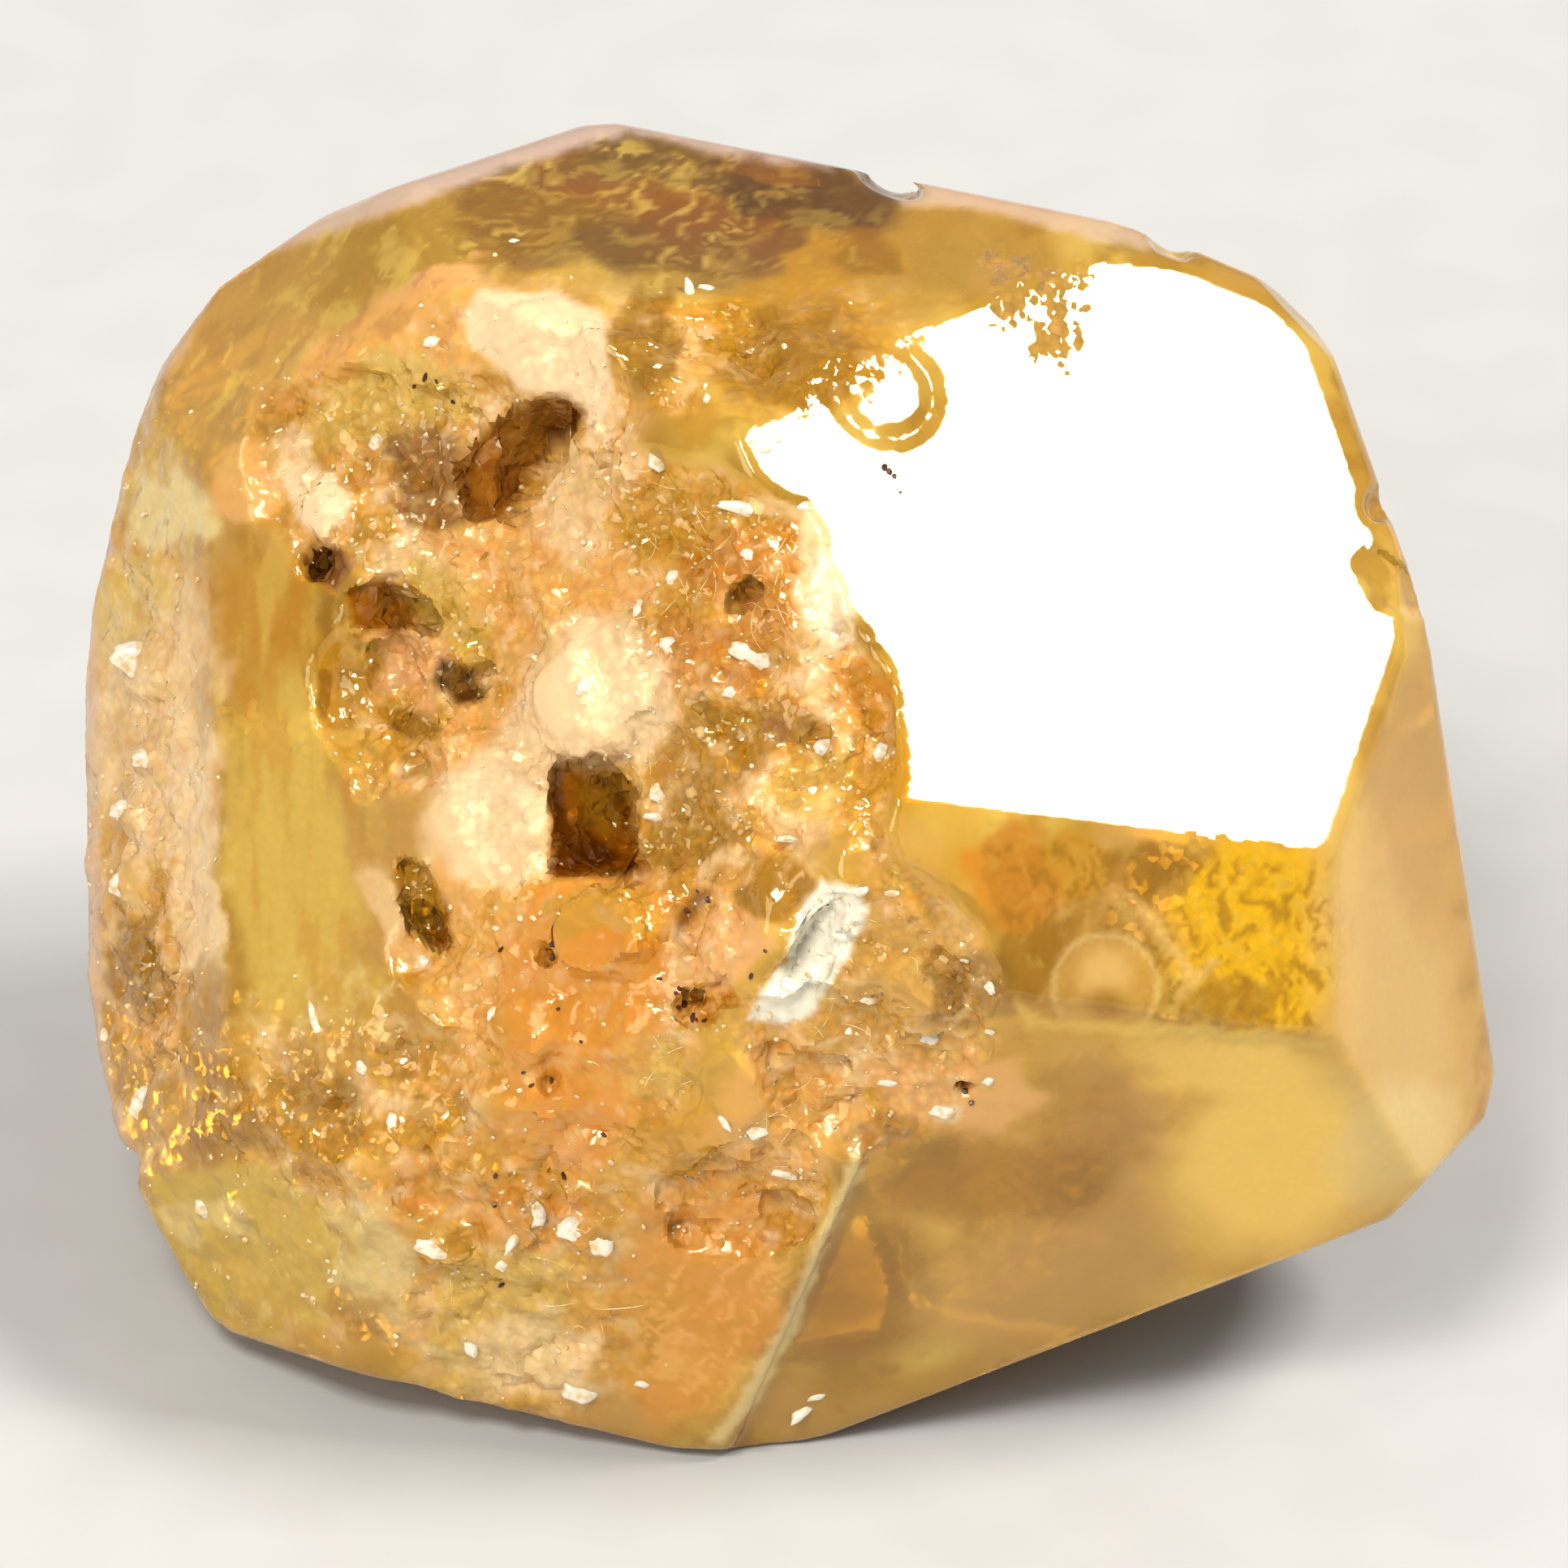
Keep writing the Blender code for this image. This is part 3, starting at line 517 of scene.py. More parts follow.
# Crisp patches and bands: corners on the front view, soft rim, finish and strength.
OUTLINES = (
    (((-2.6, 2.2), (-2.0, 2.15), (-1.5, 1.6), (-1.35, 0.9), (-1.75, 0.3), (-2.3, 0.22),
      (-2.95, 0.25), (-3.05, -0.3), (-3.0, -1.15), (-3.6, -1.35), (-4.25, -1.2),
      (-4.5, -0.5), (-4.4, 0.1), (-3.7, 0.6), (-3.4, 1.2), (-3.0, 1.6)),
     0.12, "cream", 0.75),
    (((-3.25, -1.4), (-2.7, -1.22), (-1.75, -1.25), (-1.42, -1.75), (-1.45, -2.6),
      (-1.7, -3.6), (-2.3, -4.3), (-3.1, -4.2), (-3.55, -3.3), (-3.6, -2.2)),
     0.08, "apricot", 0.45),
    (((-3.1, -1.55), (-2.6, -1.3), (-1.8, -1.32), (-1.52, -1.8), (-1.75, -1.95),
      (-2.3, -1.85), (-2.85, -2.0)), 0.05, "honey", 0.55),
    (((-4.1, 6.0), (-3.9, 6.35), (-2.9, 6.3), (-2.3, 6.0), (-2.2, 5.2), (-2.32, 4.5),
      (-2.46, 4.5), (-2.6, 4.82), (-2.95, 4.97), (-3.35, 5.02), (-3.75, 5.4), (-4.05, 5.62)),
     0.07, "cream", 1.0),
    (((-6.45, 4.05), (-5.95, 4.1), (-5.55, 3.75), (-5.6, 3.4), (-5.9, 3.15), (-6.25, 3.35)),
     0.06, "cream", 1.0),
    # the bright blade on its lump: painted highlight
    (((0.45, -1.2), (0.95, -1.35), (1.1, -1.62), (0.72, -2.4), (0.42, -2.92), (0.0, -3.1),
      (-0.46, -3.0), (-0.3, -2.62), (0.04, -2.25), (0.1, -1.9)), 0.05, "painted_glint_white", 1.0),
    (((-4.22, 3.95), (-3.9, 4.45), (-3.35, 4.85), (-2.95, 4.95), (-2.55, 4.8), (-2.7, 4.55),
      (-3.05, 4.25), (-3.35, 3.75), (-3.65, 3.42), (-4.0, 3.4)), 0.06, "brown", 0.9),
    (((-3.4, 4.8), (-2.95, 4.95), (-2.55, 4.8), (-2.68, 4.5), (-3.1, 4.4)),
     0.08, "pit", 0.5),
    (((-2.97, 0.22), (-2.6, 0.16), (-2.0, -0.18), (-1.94, -0.55), (-1.78, -1.12),
      (-2.4, -1.22), (-2.97, -1.18), (-3.0, -0.6)), 0.05, "brown", 1.0),
    (((-2.97, 0.22), (-2.84, 0.1), (-2.8, -0.3), (-2.62, -0.68), (-2.3, -0.72), (-2.05, -0.95),
      (-2.35, -1.05), (-2.97, -1.12)), 0.05, "pit", 0.9),
    (((-2.66, 0.02), (-2.2, -0.12), (-2.08, -0.5), (-2.22, -0.66), (-2.5, -0.5)),
     0.08, "olive", 0.7),
    (((-5.65, 2.48), (-5.15, 2.58), (-4.78, 2.35), (-4.73, 2.0), (-5.15, 1.93), (-5.52, 2.02)),
     0.06, "brown", 0.95),
    (((-4.42, 1.64), (-4.05, 1.52), (-3.86, 1.13), (-4.15, 1.03), (-4.47, 1.3)),
     0.08, "dark_olive", 0.95),
    (((-5.05, 1.0), (-4.6, 0.92), (-4.4, 0.65), (-4.8, 0.55), (-5.05, 0.7)),
     0.1, "olive", 0.95),
    (((-4.95, -0.95), (-4.6, -1.1), (-4.3, -1.6), (-4.33, -2.07), (-4.65, -2.02),
      (-4.95, -1.45)), 0.08, "olive", 0.95),
    (((-4.45, -1.7), (-4.28, -1.62), (-4.32, -2.08), (-4.66, -2.04)), 0.05, "brown", 0.9),
    (((-6.07, 3.02), (-5.68, 3.04), (-5.53, 2.75), (-5.75, 2.48), (-6.07, 2.63)),
     0.06, "umber", 0.95),
    # The three pale bands along the top, the upper right and the left edges are a painted sheen
    # of the edges.
    (((-8.15, 5.2), (-7.5, 6.75), (-7.0, 7.1), (-5.0, 7.75), (-3.5, 8.2), (-2.1, 8.7),
      (-0.9, 8.4), (0.6, 8.1), (0.6, 7.88), (-0.8, 8.08), (-2.0, 8.34), (-3.5, 7.88),
      (-5.0, 7.34), (-6.9, 6.72), (-7.3, 6.4), (-7.9, 5.2)), 0.1, "rim", 0.85),
    (((1.4, 7.7), (2.5, 7.75), (4.0, 7.35), (4.8, 6.95), (4.6, 6.85), (3.8, 7.02),
      (2.5, 7.38), (1.5, 7.4)), 0.08, "rim", 0.7),
    (((-9.2, 2.6), (-8.82, 2.4), (-8.78, 0.0), (-8.72, -3.2), (-8.5, -4.3), (-8.2, -4.9),
      (-8.5, -5.2), (-9.2, -4.0)), 0.08, "rim", 0.6),
    (((-8.2, -4.98), (-6.6, -4.88), (-6.3, -5.2), (-8.0, -5.4)), 0.06, "lemon", 0.9),
    (((3.24, -2.8), (4.32, -0.95), (4.46, -1.02), (3.4, -2.86)), 0.08, "tan", 0.5),
    (((4.36, -1.36), (4.5, -1.36), (5.28, -2.4), (5.16, -2.5)), 0.06, "beige", 0.8),
    (((5.48, -2.2), (5.6, -2.28), (5.1, -2.8), (4.98, -2.74)), 0.06, "beige", 0.7),
    (((2.9, -2.72), (3.3, -3.0), (5.0, -3.08), (7.0, -3.28), (7.0, -3.42), (4.9, -3.24),
      (3.1, -3.14)), 0.06, "straw", 0.8),
    (((-1.12, -1.32), (-0.9, -1.38), (-1.18, -1.75), (-1.42, -2.02), (-1.36, -1.72)),
     0.05, "pit", 0.7),
    # A pale line along the ridge between the lower faces: a painted highlight where the ridge
    # catches light.
    (((0.92, -4.3), (1.0, -4.95), (0.55, -5.85), (0.18, -7.0), (-0.4, -8.0), (-0.78, -8.45),
      (-0.98, -8.42), (-0.58, -7.9), (0.02, -6.85), (0.4, -5.8), (0.8, -4.95)),
     0.05, "pale_straw", 0.8),
)


def linear(colour):
    """A screen colour of 0 to 255 as the light it stands for."""
    share = np.array(colour) / 255
    return np.where(share > 0.04045, ((share + 0.055) / 1.055) ** 2.4, share / 12.92)


points = points_of(crystal)
across, up, depth = seen_at(points)
normals = normals_of(crystal)
front = smooth_step(-0.1, 0.15, normals @ sight)
slow = grain(points, 2.3, 3, 1.7)
middling = grain(points, 0.8, 4, 6.3)
small = grain(points, 0.26, 4, 11.9)
WANDER = 0.3
WANDER_SIZE = 0.75
wander_across = across + WANDER * grain(points, WANDER_SIZE, 4, 21.0)
wander_up = up + WANDER * grain(points, WANDER_SIZE, 4, 33.0)
tint = np.tile(linear(FINISHES["honey"][0]), (len(points), 1))
clear = np.full(len(points), FINISHES["honey"][1])
frost = np.full(len(points), FINISHES["honey"][2])
broken = np.full(len(points), FINISHES["honey"][3])


def lay(finish, mask):
    """Brings part of the crystal's skin to a finish."""
    colour, clearness, frosting, breakage = FINISHES[finish]
    tint[:] += (linear(colour) - tint) * mask[:, None]
    clear[:] += (clearness - clear) * mask
    frost[:] += (frosting - frost) * mask
    broken[:] += (breakage - broken) * mask


def lay_veins(finish, where, pattern, starts, full, strength):
    """Lays a finish over a part, where a pattern goes from one value to another."""
    lay(finish, where * smooth_step(starts, full, pattern) * strength)


def front_part(at, size, turn, soft):
    return inside_oval(across, up, at, size, turn, soft) * front


def drawn_grain(across, up, size_across, size_up, octaves, level):
    """Noise on the front view whose lumps are longer one way than the other."""
    levels = np.broadcast_to(level, across.shape)
    return np.array([
        noise.fractal(Vector((u / size_across, v / size_up, w)), 1.0, 2.0, octaves)
        for u, v, w in zip(across, up, levels)
    ])


# The ground colours, and the pale and golden blocks of the hollow.
hollow_front = front * etched
between_pits = hollow_front * (1 - pitted)
lay_veins("tan", 1, slow, -0.1, 0.5, 1)
lay_veins("straw", 1, -slow, 0.0, 0.6, 0.8)
lay_veins("olive", 1, middling, 0.15, 0.6, 0.5)
lay("orange_cream", etched * 0.8)
lay_veins("olive", etched, middling, 0.25, 0.5, 0.7)
# Painted shade and light from the relief: the low places of the lumps are painted darker, a
# painted shade in the hollow's creases, and their tops paler, a painted light.
lay_veins("umber", hollow_front, -lumps, 0.2, 0.6, 0.22)
lay_veins("cream", between_pits, lumps, 0.2, 0.6, 0.22)
blocks = grain(points, 0.62, 2, 71.0) + 0.25 * small
lay_veins("cream", between_pits, blocks, 0.2, 0.26, 0.55)
lay_veins("gold", between_pits, -blocks, 0.18, 0.26, 0.7)

OVAL_SOFT = 0.22
FADING_SOFT = 0.45
half_across, half_up = (across + wander_across) / 2, (up + wander_up) / 2
for patches, east, north, soft in (
        (OVALS, wander_across, wander_up, OVAL_SOFT),
        (FADING_OVALS, half_across, half_up, FADING_SOFT)):
    for at, size, turn, finish, strength in patches:
        lay(finish, inside_oval(east, north, at, size, turn, soft) * front * strength)

# Slanting golden streaks on the upper left.
STREAK_TURN = radians(42)
streaks = drawn_grain(
    wander_across * cos(STREAK_TURN) - wander_up * sin(STREAK_TURN),
    wander_across * sin(STREAK_TURN) + wander_up * cos(STREAK_TURN),
    0.16, 0.75, 4, 0.3 * depth)
upper_left = front_part((-4.5, 6.4), (4.2, 1.9), 20, 0.3) * (1 - etched * 0.7)
lay_veins("straw", upper_left * smooth_step(-0.3, 0.2, middling), streaks, 0.1, 0.45, 0.8)
lay_veins("umber", upper_left, -streaks, 0.1, 0.5, 0.3)

# The fine mottling of the hollow.
lay_veins("cream", hollow_front, small, 0.28, 0.55, 0.45)
lay_veins("umber", hollow_front, -small, 0.3, 0.6, 0.12)
flecks = grain(points, 0.13, 3, 63.0)
lay_veins("apricot", hollow_front, flecks, 0.1, 0.45, 0.35)
lay_veins("straw", hollow_front, -flecks, 0.1, 0.45, 0.35)

# The cloudy left side and foot: place, half sizes, soft rim and strength.
CLOUDY_PARTS = (
    ((-8.1, -0.5), (1.0, 5.5), 0.2, 1.0), ((-5.6, -4.2), (2.4, 2.0), 0.25, 1.0),
    ((-3.2, -6.7), (1.6, 1.4), 0.25, 1.0), ((-6.4, -6.1), (1.6, 1.0), 0.25, 0.6),
)
cloudy = np.zeros(len(points))
for at, size, soft, strength in CLOUDY_PARTS:
    cloudy = np.maximum(cloudy, inside_oval(across, up, at, size, 0, soft) * strength)
cloudy *= front * (1 - etched)
lay_veins("pale_straw", cloudy, small, -0.1, 0.6, 0.4)
lay_veins("olive", cloudy, -middling, 0.0, 0.6, 0.5)

# Upright growth lines on the left facet, and wavy bands on the top face.
grown = drawn_grain(across, up, 0.3, 1.6, 4, 3.0)
left_facet = front_part((-6.3, 0.2), (1.1, 3.2), 4, 0.25) * (1 - etched)
lay_veins("straw", left_facet, grown, 0.0, 0.4, 0.55)
lay_veins("amber", left_facet, -grown, 0.05, 0.4, 0.3)
banded = drawn_grain(wander_across, wander_up + 0.14 * wander_across, 0.9, 0.14, 4, 5.0)
top_face = front_part((-1.4, 7.2), (3.0, 0.85), -5, 0.2) * (1 - etched)
lay_veins("straw", top_face, banded, 0.05, 0.45, 0.35)
lay_veins("umber", top_face, -banded, 0.05, 0.45, 0.35)

# The golden window under the bright face, and the amber facet at the foot.
PANE = ((2.5, -0.6), (4.3, -0.75), (7.0, -1.0), (7.0, -3.25), (5.1, -3.05), (3.1, -2.8))
pane = inside_outline(across, up, PANE, 0.08) * front
ripples = drawn_grain(wander_across, wander_up, 0.14, 0.3, 3, 9.0)
lay_veins("olive", pane, ripples, 0.0, 0.45, 0.6)
lay_veins("lemon", pane, -ripples, 0.15, 0.55, 0.3)
facet_lines = drawn_grain(
    wander_up * 0.6 - wander_across * 0.8, wander_across * 0.6 + wander_up * 0.8,
    0.1, 0.9, 3, 13.0)
amber_facet = front_part((-0.9, -6.4), (0.9, 1.8), -18, 0.2)
lay_veins("orange_cream", amber_facet, facet_lines, 0.0, 0.4, 0.7)
lay_veins("gold", amber_facet, -facet_lines, 0.05, 0.45, 0.5)

EDGE_WOBBLE = 0.05
wobble_across = across + EDGE_WOBBLE * grain(points, 0.3, 3, 41.0)
wobble_up = up + EDGE_WOBBLE * grain(points, 0.3, 3, 47.0)
for corners, soft, finish, strength in OUTLINES:
    mask = inside_outline(wobble_across, wobble_up, corners, soft)
    lay(finish, mask * front * strength)

# The pale eye in the golden window, a round droplet that the window's foot cuts off. Its
# top is painted paler, a painted light, and its foot darker, a painted shade.
EYE_AT = (4.12, -2.6)
EYE_FOOT = -3.02
EYE_PAINTED_LIGHT_AT = (4.12, -2.42)
EYE_PAINTED_SHADE_AT = (4.12, -2.86)


def away_from(at):
    return np.hypot(across - at[0], up - at[1])


eye = away_from(EYE_AT)
dome = smooth_step(EYE_FOOT - 0.04, EYE_FOOT + 0.04, up) * front
lay_veins("tan", dome, eye, 0.72, 0.55, 0.7)
lay_veins("pale_straw", dome * smooth_step(0.6, 0.66, eye), eye, 0.74, 0.68, 0.35)
# A painted light on the droplet's top and a painted shade at its foot.
lay_veins("beige", dome, away_from(EYE_PAINTED_LIGHT_AT), 0.5, 0.15, 0.8)
lay_veins("olive", dome, away_from(EYE_PAINTED_SHADE_AT), 0.4, 0.05, 0.75)

# How far the broken cells lean: most in the hollow, a little in the window and on the left,
# and fully in the feather marks on the bright face.
HOLLOW_TILT = 1.2
LEAST_TILT = 0.02
WINDOW_TILT = 0.28
LEFT_TILT = 0.1
CLOUDY_TILT = 0.24
FEATHER = (
    (2.45, 6.85), (3.85, 6.75), (3.8, 5.85), (3.62, 5.25), (3.4, 5.7), (3.15, 5.42),
    (3.2, 6.1), (2.8, 5.75), (2.6, 6.3),
)
tilt = etched * broken * HOLLOW_TILT + LEAST_TILT
golden_window = front_part((5.6, -2.0), (1.6, 1.3), 0, 0.2)
tilt = np.maximum(tilt, golden_window * WINDOW_TILT * smooth_step(0.6, 0.8, eye))
left_side = front_part((-7.0, -1.5), (2.4, 4.8), 0, 0.3)
tilt = np.maximum(tilt, np.maximum(left_side * LEFT_TILT, cloudy * CLOUDY_TILT))
feather = inside_outline(
    across + 0.18 * grain(points, 0.25, 3, 51.0), up + 0.12 * grain(points, 0.4, 3, 57.0),
    FEATHER, 0.12) * front
barbs = feather * smooth_step(-0.12, 0.08, drawn_grain(across, up, 0.09, 0.6, 3, 7.0))
tilt = np.maximum(tilt, barbs)
lay("tan", barbs * 0.8)
tint_layer = crystal.data.attributes.new("tint", "FLOAT_COLOR", "POINT")
tint_layer.data.foreach_set("color", np.column_stack([tint, np.ones(len(points))]).ravel())
finish_layer = crystal.data.attributes.new("finish", "FLOAT_COLOR", "POINT")
finish_layer.data.foreach_set(
    "color", np.column_stack([clear, frost, tilt, np.ones(len(points))]).ravel())
SHARP_EDGE = radians(32)
only(crystal)
bpy.ops.object.shade_smooth_by_angle(angle=SHARP_EDGE)


def link_or_set(tree, value, socket):
    """Joins a socket to another, or gives it a plain number or colour."""
    if isinstance(value, bpy.types.NodeSocket):
        tree.links.new(value, socket)
    elif value is not None:
        socket.default_value = value


def maths(tree, operation, first, second=None):
    node = tree.nodes.new("ShaderNodeMath")
    node.operation = operation
    link_or_set(tree, first, node.inputs[0])
    link_or_set(tree, second, node.inputs[1])
    return node.outputs[0]


def vector_maths(tree, operation, first, second=None, scale=None):
    node = tree.nodes.new("ShaderNodeVectorMath")
    node.operation = operation
    link_or_set(tree, first, node.inputs[0])
    link_or_set(tree, second, node.inputs[1])
    if scale is not None:
        link_or_set(tree, scale, node.inputs["Scale"])
    return node.outputs[0]


def ramp(tree, value, low, high, to_low=0.0, to_high=1.0):
    """A smooth change from one number to another as a value passes two limits."""
    node = tree.nodes.new("ShaderNodeMapRange")
    node.interpolation_type = "SMOOTHSTEP"
    limits = {"From Min": low, "From Max": high, "To Min": to_low, "To Max": to_high}
    for socket, limit in limits.items():
        node.inputs[socket].default_value = limit
    tree.links.new(value, node.inputs["Value"])
    return node.outputs["Result"]


def bench_place(tree):
    """Object coordinates in millimetres."""
    place = tree.nodes.new("ShaderNodeTexCoord")
    return vector_maths(tree, "SCALE", place.outputs["Object"], scale=1 / MM)


def plain_material(name):
    """A new material, with its nodes and its surface shader."""
    material = bpy.data.materials.new(name)
    material.use_nodes = True
    return material, material.node_tree, material.node_tree.nodes["Principled BSDF"]


CELL_SIZE = 0.13
CELL_LEAN = 1.05
GARNET_IOR = 1.74
ABSORPTION_COLOUR = (0.97, 0.8, 0.2, 1)
ABSORPTION_DENSITY = 60


def garnet_skin():
    """Garnet: its tint, clearness, frosting and roughness come from the crystal's own layers."""
    material, tree, glass = plain_material("honey_garnet")
    painted = tree.nodes.new("ShaderNodeAttribute")
    painted.attribute_name = "tint"
    finish = tree.nodes.new("ShaderNodeAttribute")
    finish.attribute_name = "finish"
    parts = tree.nodes.new("ShaderNodeSeparateColor")
    tree.links.new(finish.outputs["Color"], parts.inputs["Color"])
    clearness, frosting, broken = parts.outputs

    # small broken cells shade the tint, and lean the skin where it is broken
    cells = tree.nodes.new("ShaderNodeTexVoronoi")
    cells.inputs["Scale"].default_value = 1 / CELL_SIZE
    tree.links.new(bench_place(tree), cells.inputs["Vector"])
    swing = ramp(tree, cells.outputs["Distance"], 0.1, 0.75, 0.08, -0.14)
    swing = maths(tree, "MULTIPLY", swing, ramp(tree, broken, 0.0, 0.6, 0.12, 1.0))
    shade = maths(tree, "ADD", swing, 1.0)
    tree.links.new(vector_maths(tree, "SCALE", painted.outputs["Color"], scale=shade),
                   glass.inputs["Base Color"])
    tree.links.new(clearness, glass.inputs["Transmission Weight"])
    tree.links.new(frosting, glass.inputs["Roughness"])
    lean = vector_maths(tree, "SUBTRACT", cells.outputs["Color"], (0.5, 0.5, 0.5))
    lean = vector_maths(tree, "SCALE", lean, scale=CELL_LEAN)
    surface = tree.nodes.new("ShaderNodeNewGeometry")
    leaning = vector_maths(tree, "ADD", surface.outputs["Normal"],
                           vector_maths(tree, "SCALE", lean, scale=broken))
    tree.links.new(vector_maths(tree, "NORMALIZE", leaning), glass.inputs["Normal"])

    glass.inputs["IOR"].default_value = GARNET_IOR
    glass.inputs["Specular Tint"].default_value = (1.0, 0.86, 0.55, 1)
    depth_tint = tree.nodes.new("ShaderNodeVolumeAbsorption")
    depth_tint.inputs["Color"].default_value = ABSORPTION_COLOUR
    depth_tint.inputs["Density"].default_value = ABSORPTION_DENSITY
    tree.links.new(depth_tint.outputs["Volume"], tree.nodes["Material Output"].inputs["Volume"])
    return material


crystal.data.materials.append(garnet_skin())
scale_about_origin(crystal, MM)
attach(crystal, "root")
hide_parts("garnet_crystal")

# The glints: pale opaque drops set half into the skin of the hollow and of the left side,
# painted highlights that stand for the bright glints and inner reflections there. Each has
# its place across and up, half length, half width and turn.
GLINTS = (
    (-8.32, 1.58, 0.36, 0.24, -20), (-8.2, 0.32, 0.18, 0.13, 10), (-8.48, -0.33, 0.2, 0.14, 0),
    (-8.55, -1.3, 0.15, 0.16, 0), (-8.7, -3.22, 0.1, 0.12, 0), (-8.25, -4.12, 0.17, 0.24, -10),
    (-5.98, -3.15, 0.08, 0.36, 18), (-5.42, -3.62, 0.09, 0.13, 0), (-7.45, -5.42, 0.13, 0.17, 0),
    (-4.48, -5.96, 0.28, 0.15, -12), (-3.2, -5.5, 0.17, 0.19, 40),
    (-3.44, -5.82, 0.07, 0.3, -32),
    (-3.62, -6.16, 0.1, 0.12, 0), (-2.72, -5.72, 0.22, 0.16, 0), (-2.34, -5.9, 0.17, 0.2, 20),
    (-2.6, -7.78, 0.26, 0.2, 0), (-4.02, -7.2, 0.1, 0.2, 12), (-0.32, -4.42, 0.2, 0.15, 40),
    (0.08, -5.02, 0.26, 0.09, -5), (-0.8, -4.3, 0.06, 0.22, 30), (0.12, -0.72, 0.24, 0.06, 0),
    (0.52, 0.42, 0.2, 0.17, 30), (1.26, 0.38, 0.13, 0.17, 20), (-0.36, 1.62, 0.36, 0.16, -22),
    (-1.48, 1.76, 0.15, 0.12, -30), (-0.68, 1.16, 0.14, 0.09, 0), (-1.42, 2.66, 0.12, 0.09, 30),
    (-0.48, 3.5, 0.4, 0.09, -12), (-0.36, 4.32, 0.22, 0.1, -8), (-1.62, 4.14, 0.14, 0.17, 0),
    (-0.45, 2.92, 0.12, 0.08, -30), (-1.86, 2.22, 0.1, 0.15, 0), (0.28, 3.55, 0.16, 0.08, 0),
    (-1.62, -0.12, 0.13, 0.14, 0), (-1.62, -0.42, 0.2, 0.06, -10), (2.66, -2.62, 0.12, 0.1, -30),
    (1.08, -2.78, 0.12, 0.08, 0), (1.88, -3.24, 0.15, 0.13, 0), (2.64, -3.18, 0.09, 0.07, 0),
    (2.32, -2.26, 0.09, 0.07, 0), (2.62, -3.8, 0.09, 0.1, 0), (1.35, -3.84, 0.16, 0.07, 0),
    (2.05, -4.18, 0.2, 0.14, 0), (1.4, -1.4, 0.16, 0.07, 0), (0.98, -1.38, 0.12, 0.09, 0),
    (-5.22, 4.36, 0.1, 0.15, -15), (-4.5, 5.66, 0.15, 0.09, 0), (-3.46, 6.97, 0.1, 0.05, 0),
    (-1.0, 4.92, 0.06, 0.1, 0), (-2.55, 1.22, 0.13, 0.13, 0), (-1.62, 5.36, 0.08, 0.05, 0),
    (0.28, -8.02, 0.09, 0.3, -40), (0.44, -7.86, 0.16, 0.07, 20), (-1.8, -7.7, 0.13, 0.07, 0),
    (-1.2, 6.3, 0.07, 0.22, 12), (-0.96, 6.36, 0.16, 0.06, -20), (-0.1, 4.4, 0.1, 0.06, 30),
    (-3.75, -2.95, 0.09, 0.11, 0), (-4.62, -2.3, 0.12, 0.09, 0), (-5.02, -4.35, 0.1, 0.15, 15),
)
GLINT_SINK = 0.035
GLINT_SHARE = 0.95
GLINT_RISE = 0.06
DENT_SIZE = 0.8
DENT_DEPTH = 0.7
crystal_skin = bvhtree.BVHTree.FromPolygons(
    [Vector(point) for point in points], [tuple(face.vertices) for face in crystal.data.polygons])


def on_skin(at_across, at_up):
    """The place and normal on the skin that the front view shows there."""
    eye = HEART + TOWARDS_VIEWER * VIEW_DISTANCE
    aim = HEART + VIEW_RIGHT * at_across + VIEW_UP * at_up
    place, normal, _, _ = crystal_skin.ray_cast(eye, (aim - eye).normalized())
    return place, normal


def model_of(piece):
    """The points and faces of a modelled piece, which is then taken away."""
    corners = points_of(piece)
    faces = [tuple(face.vertices) for face in piece.data.polygons]
    bpy.data.objects.remove(piece)
    return corners, faces


def joined_copies(name, model, stands):
    """One mesh of many copies of a model, each stretched, turned and set at a place."""
    corners, faces = model
    all_corners, all_faces = [], []
    for number, (place, turn, stretch) in enumerate(stands):
        moved = (corners * np.array(stretch)) @ np.array(turn).T + np.array(place)
        moved = np.clip(moved, box_low, box_high)
        all_corners.append(moved)
        start = number * len(corners)
        all_faces += [tuple(start + corner for corner in face) for face in faces]
    mesh = bpy.data.meshes.new(name)
    mesh.from_pydata(np.concatenate(all_corners).tolist(), [], all_faces)
    return put_in_scene(name, mesh)


MOTTLE_SIZE = 0.12
SCALE_IOR = 1.6


def coat(piece, name, pale, warm, roughness):
    """Gives a piece a pale or dark colour, a little mottled in a second colour: a painted
    highlight on the glints and threads.
    """
    material, tree, surface = plain_material(name)
    mottle = tree.nodes.new("ShaderNodeTexNoise")
    mottle.inputs["Scale"].default_value = 1 / MOTTLE_SIZE
    tree.links.new(bench_place(tree), mottle.inputs["Vector"])
    blend = tree.nodes.new("ShaderNodeMix")
    blend.data_type = "RGBA"
    # inputs 6 and 7 are the mix's two colours
    blend.inputs[6].default_value = (*linear(pale), 1)
    blend.inputs[7].default_value = (*linear(warm), 1)
    tree.links.new(ramp(tree, mottle.outputs["Fac"], 0.45, 0.7), blend.inputs[0])
    tree.links.new(blend.outputs[2], surface.inputs["Base Color"])
    surface.inputs["Roughness"].default_value = roughness
    surface.inputs["IOR"].default_value = SCALE_IOR
    piece.data.materials.append(material)


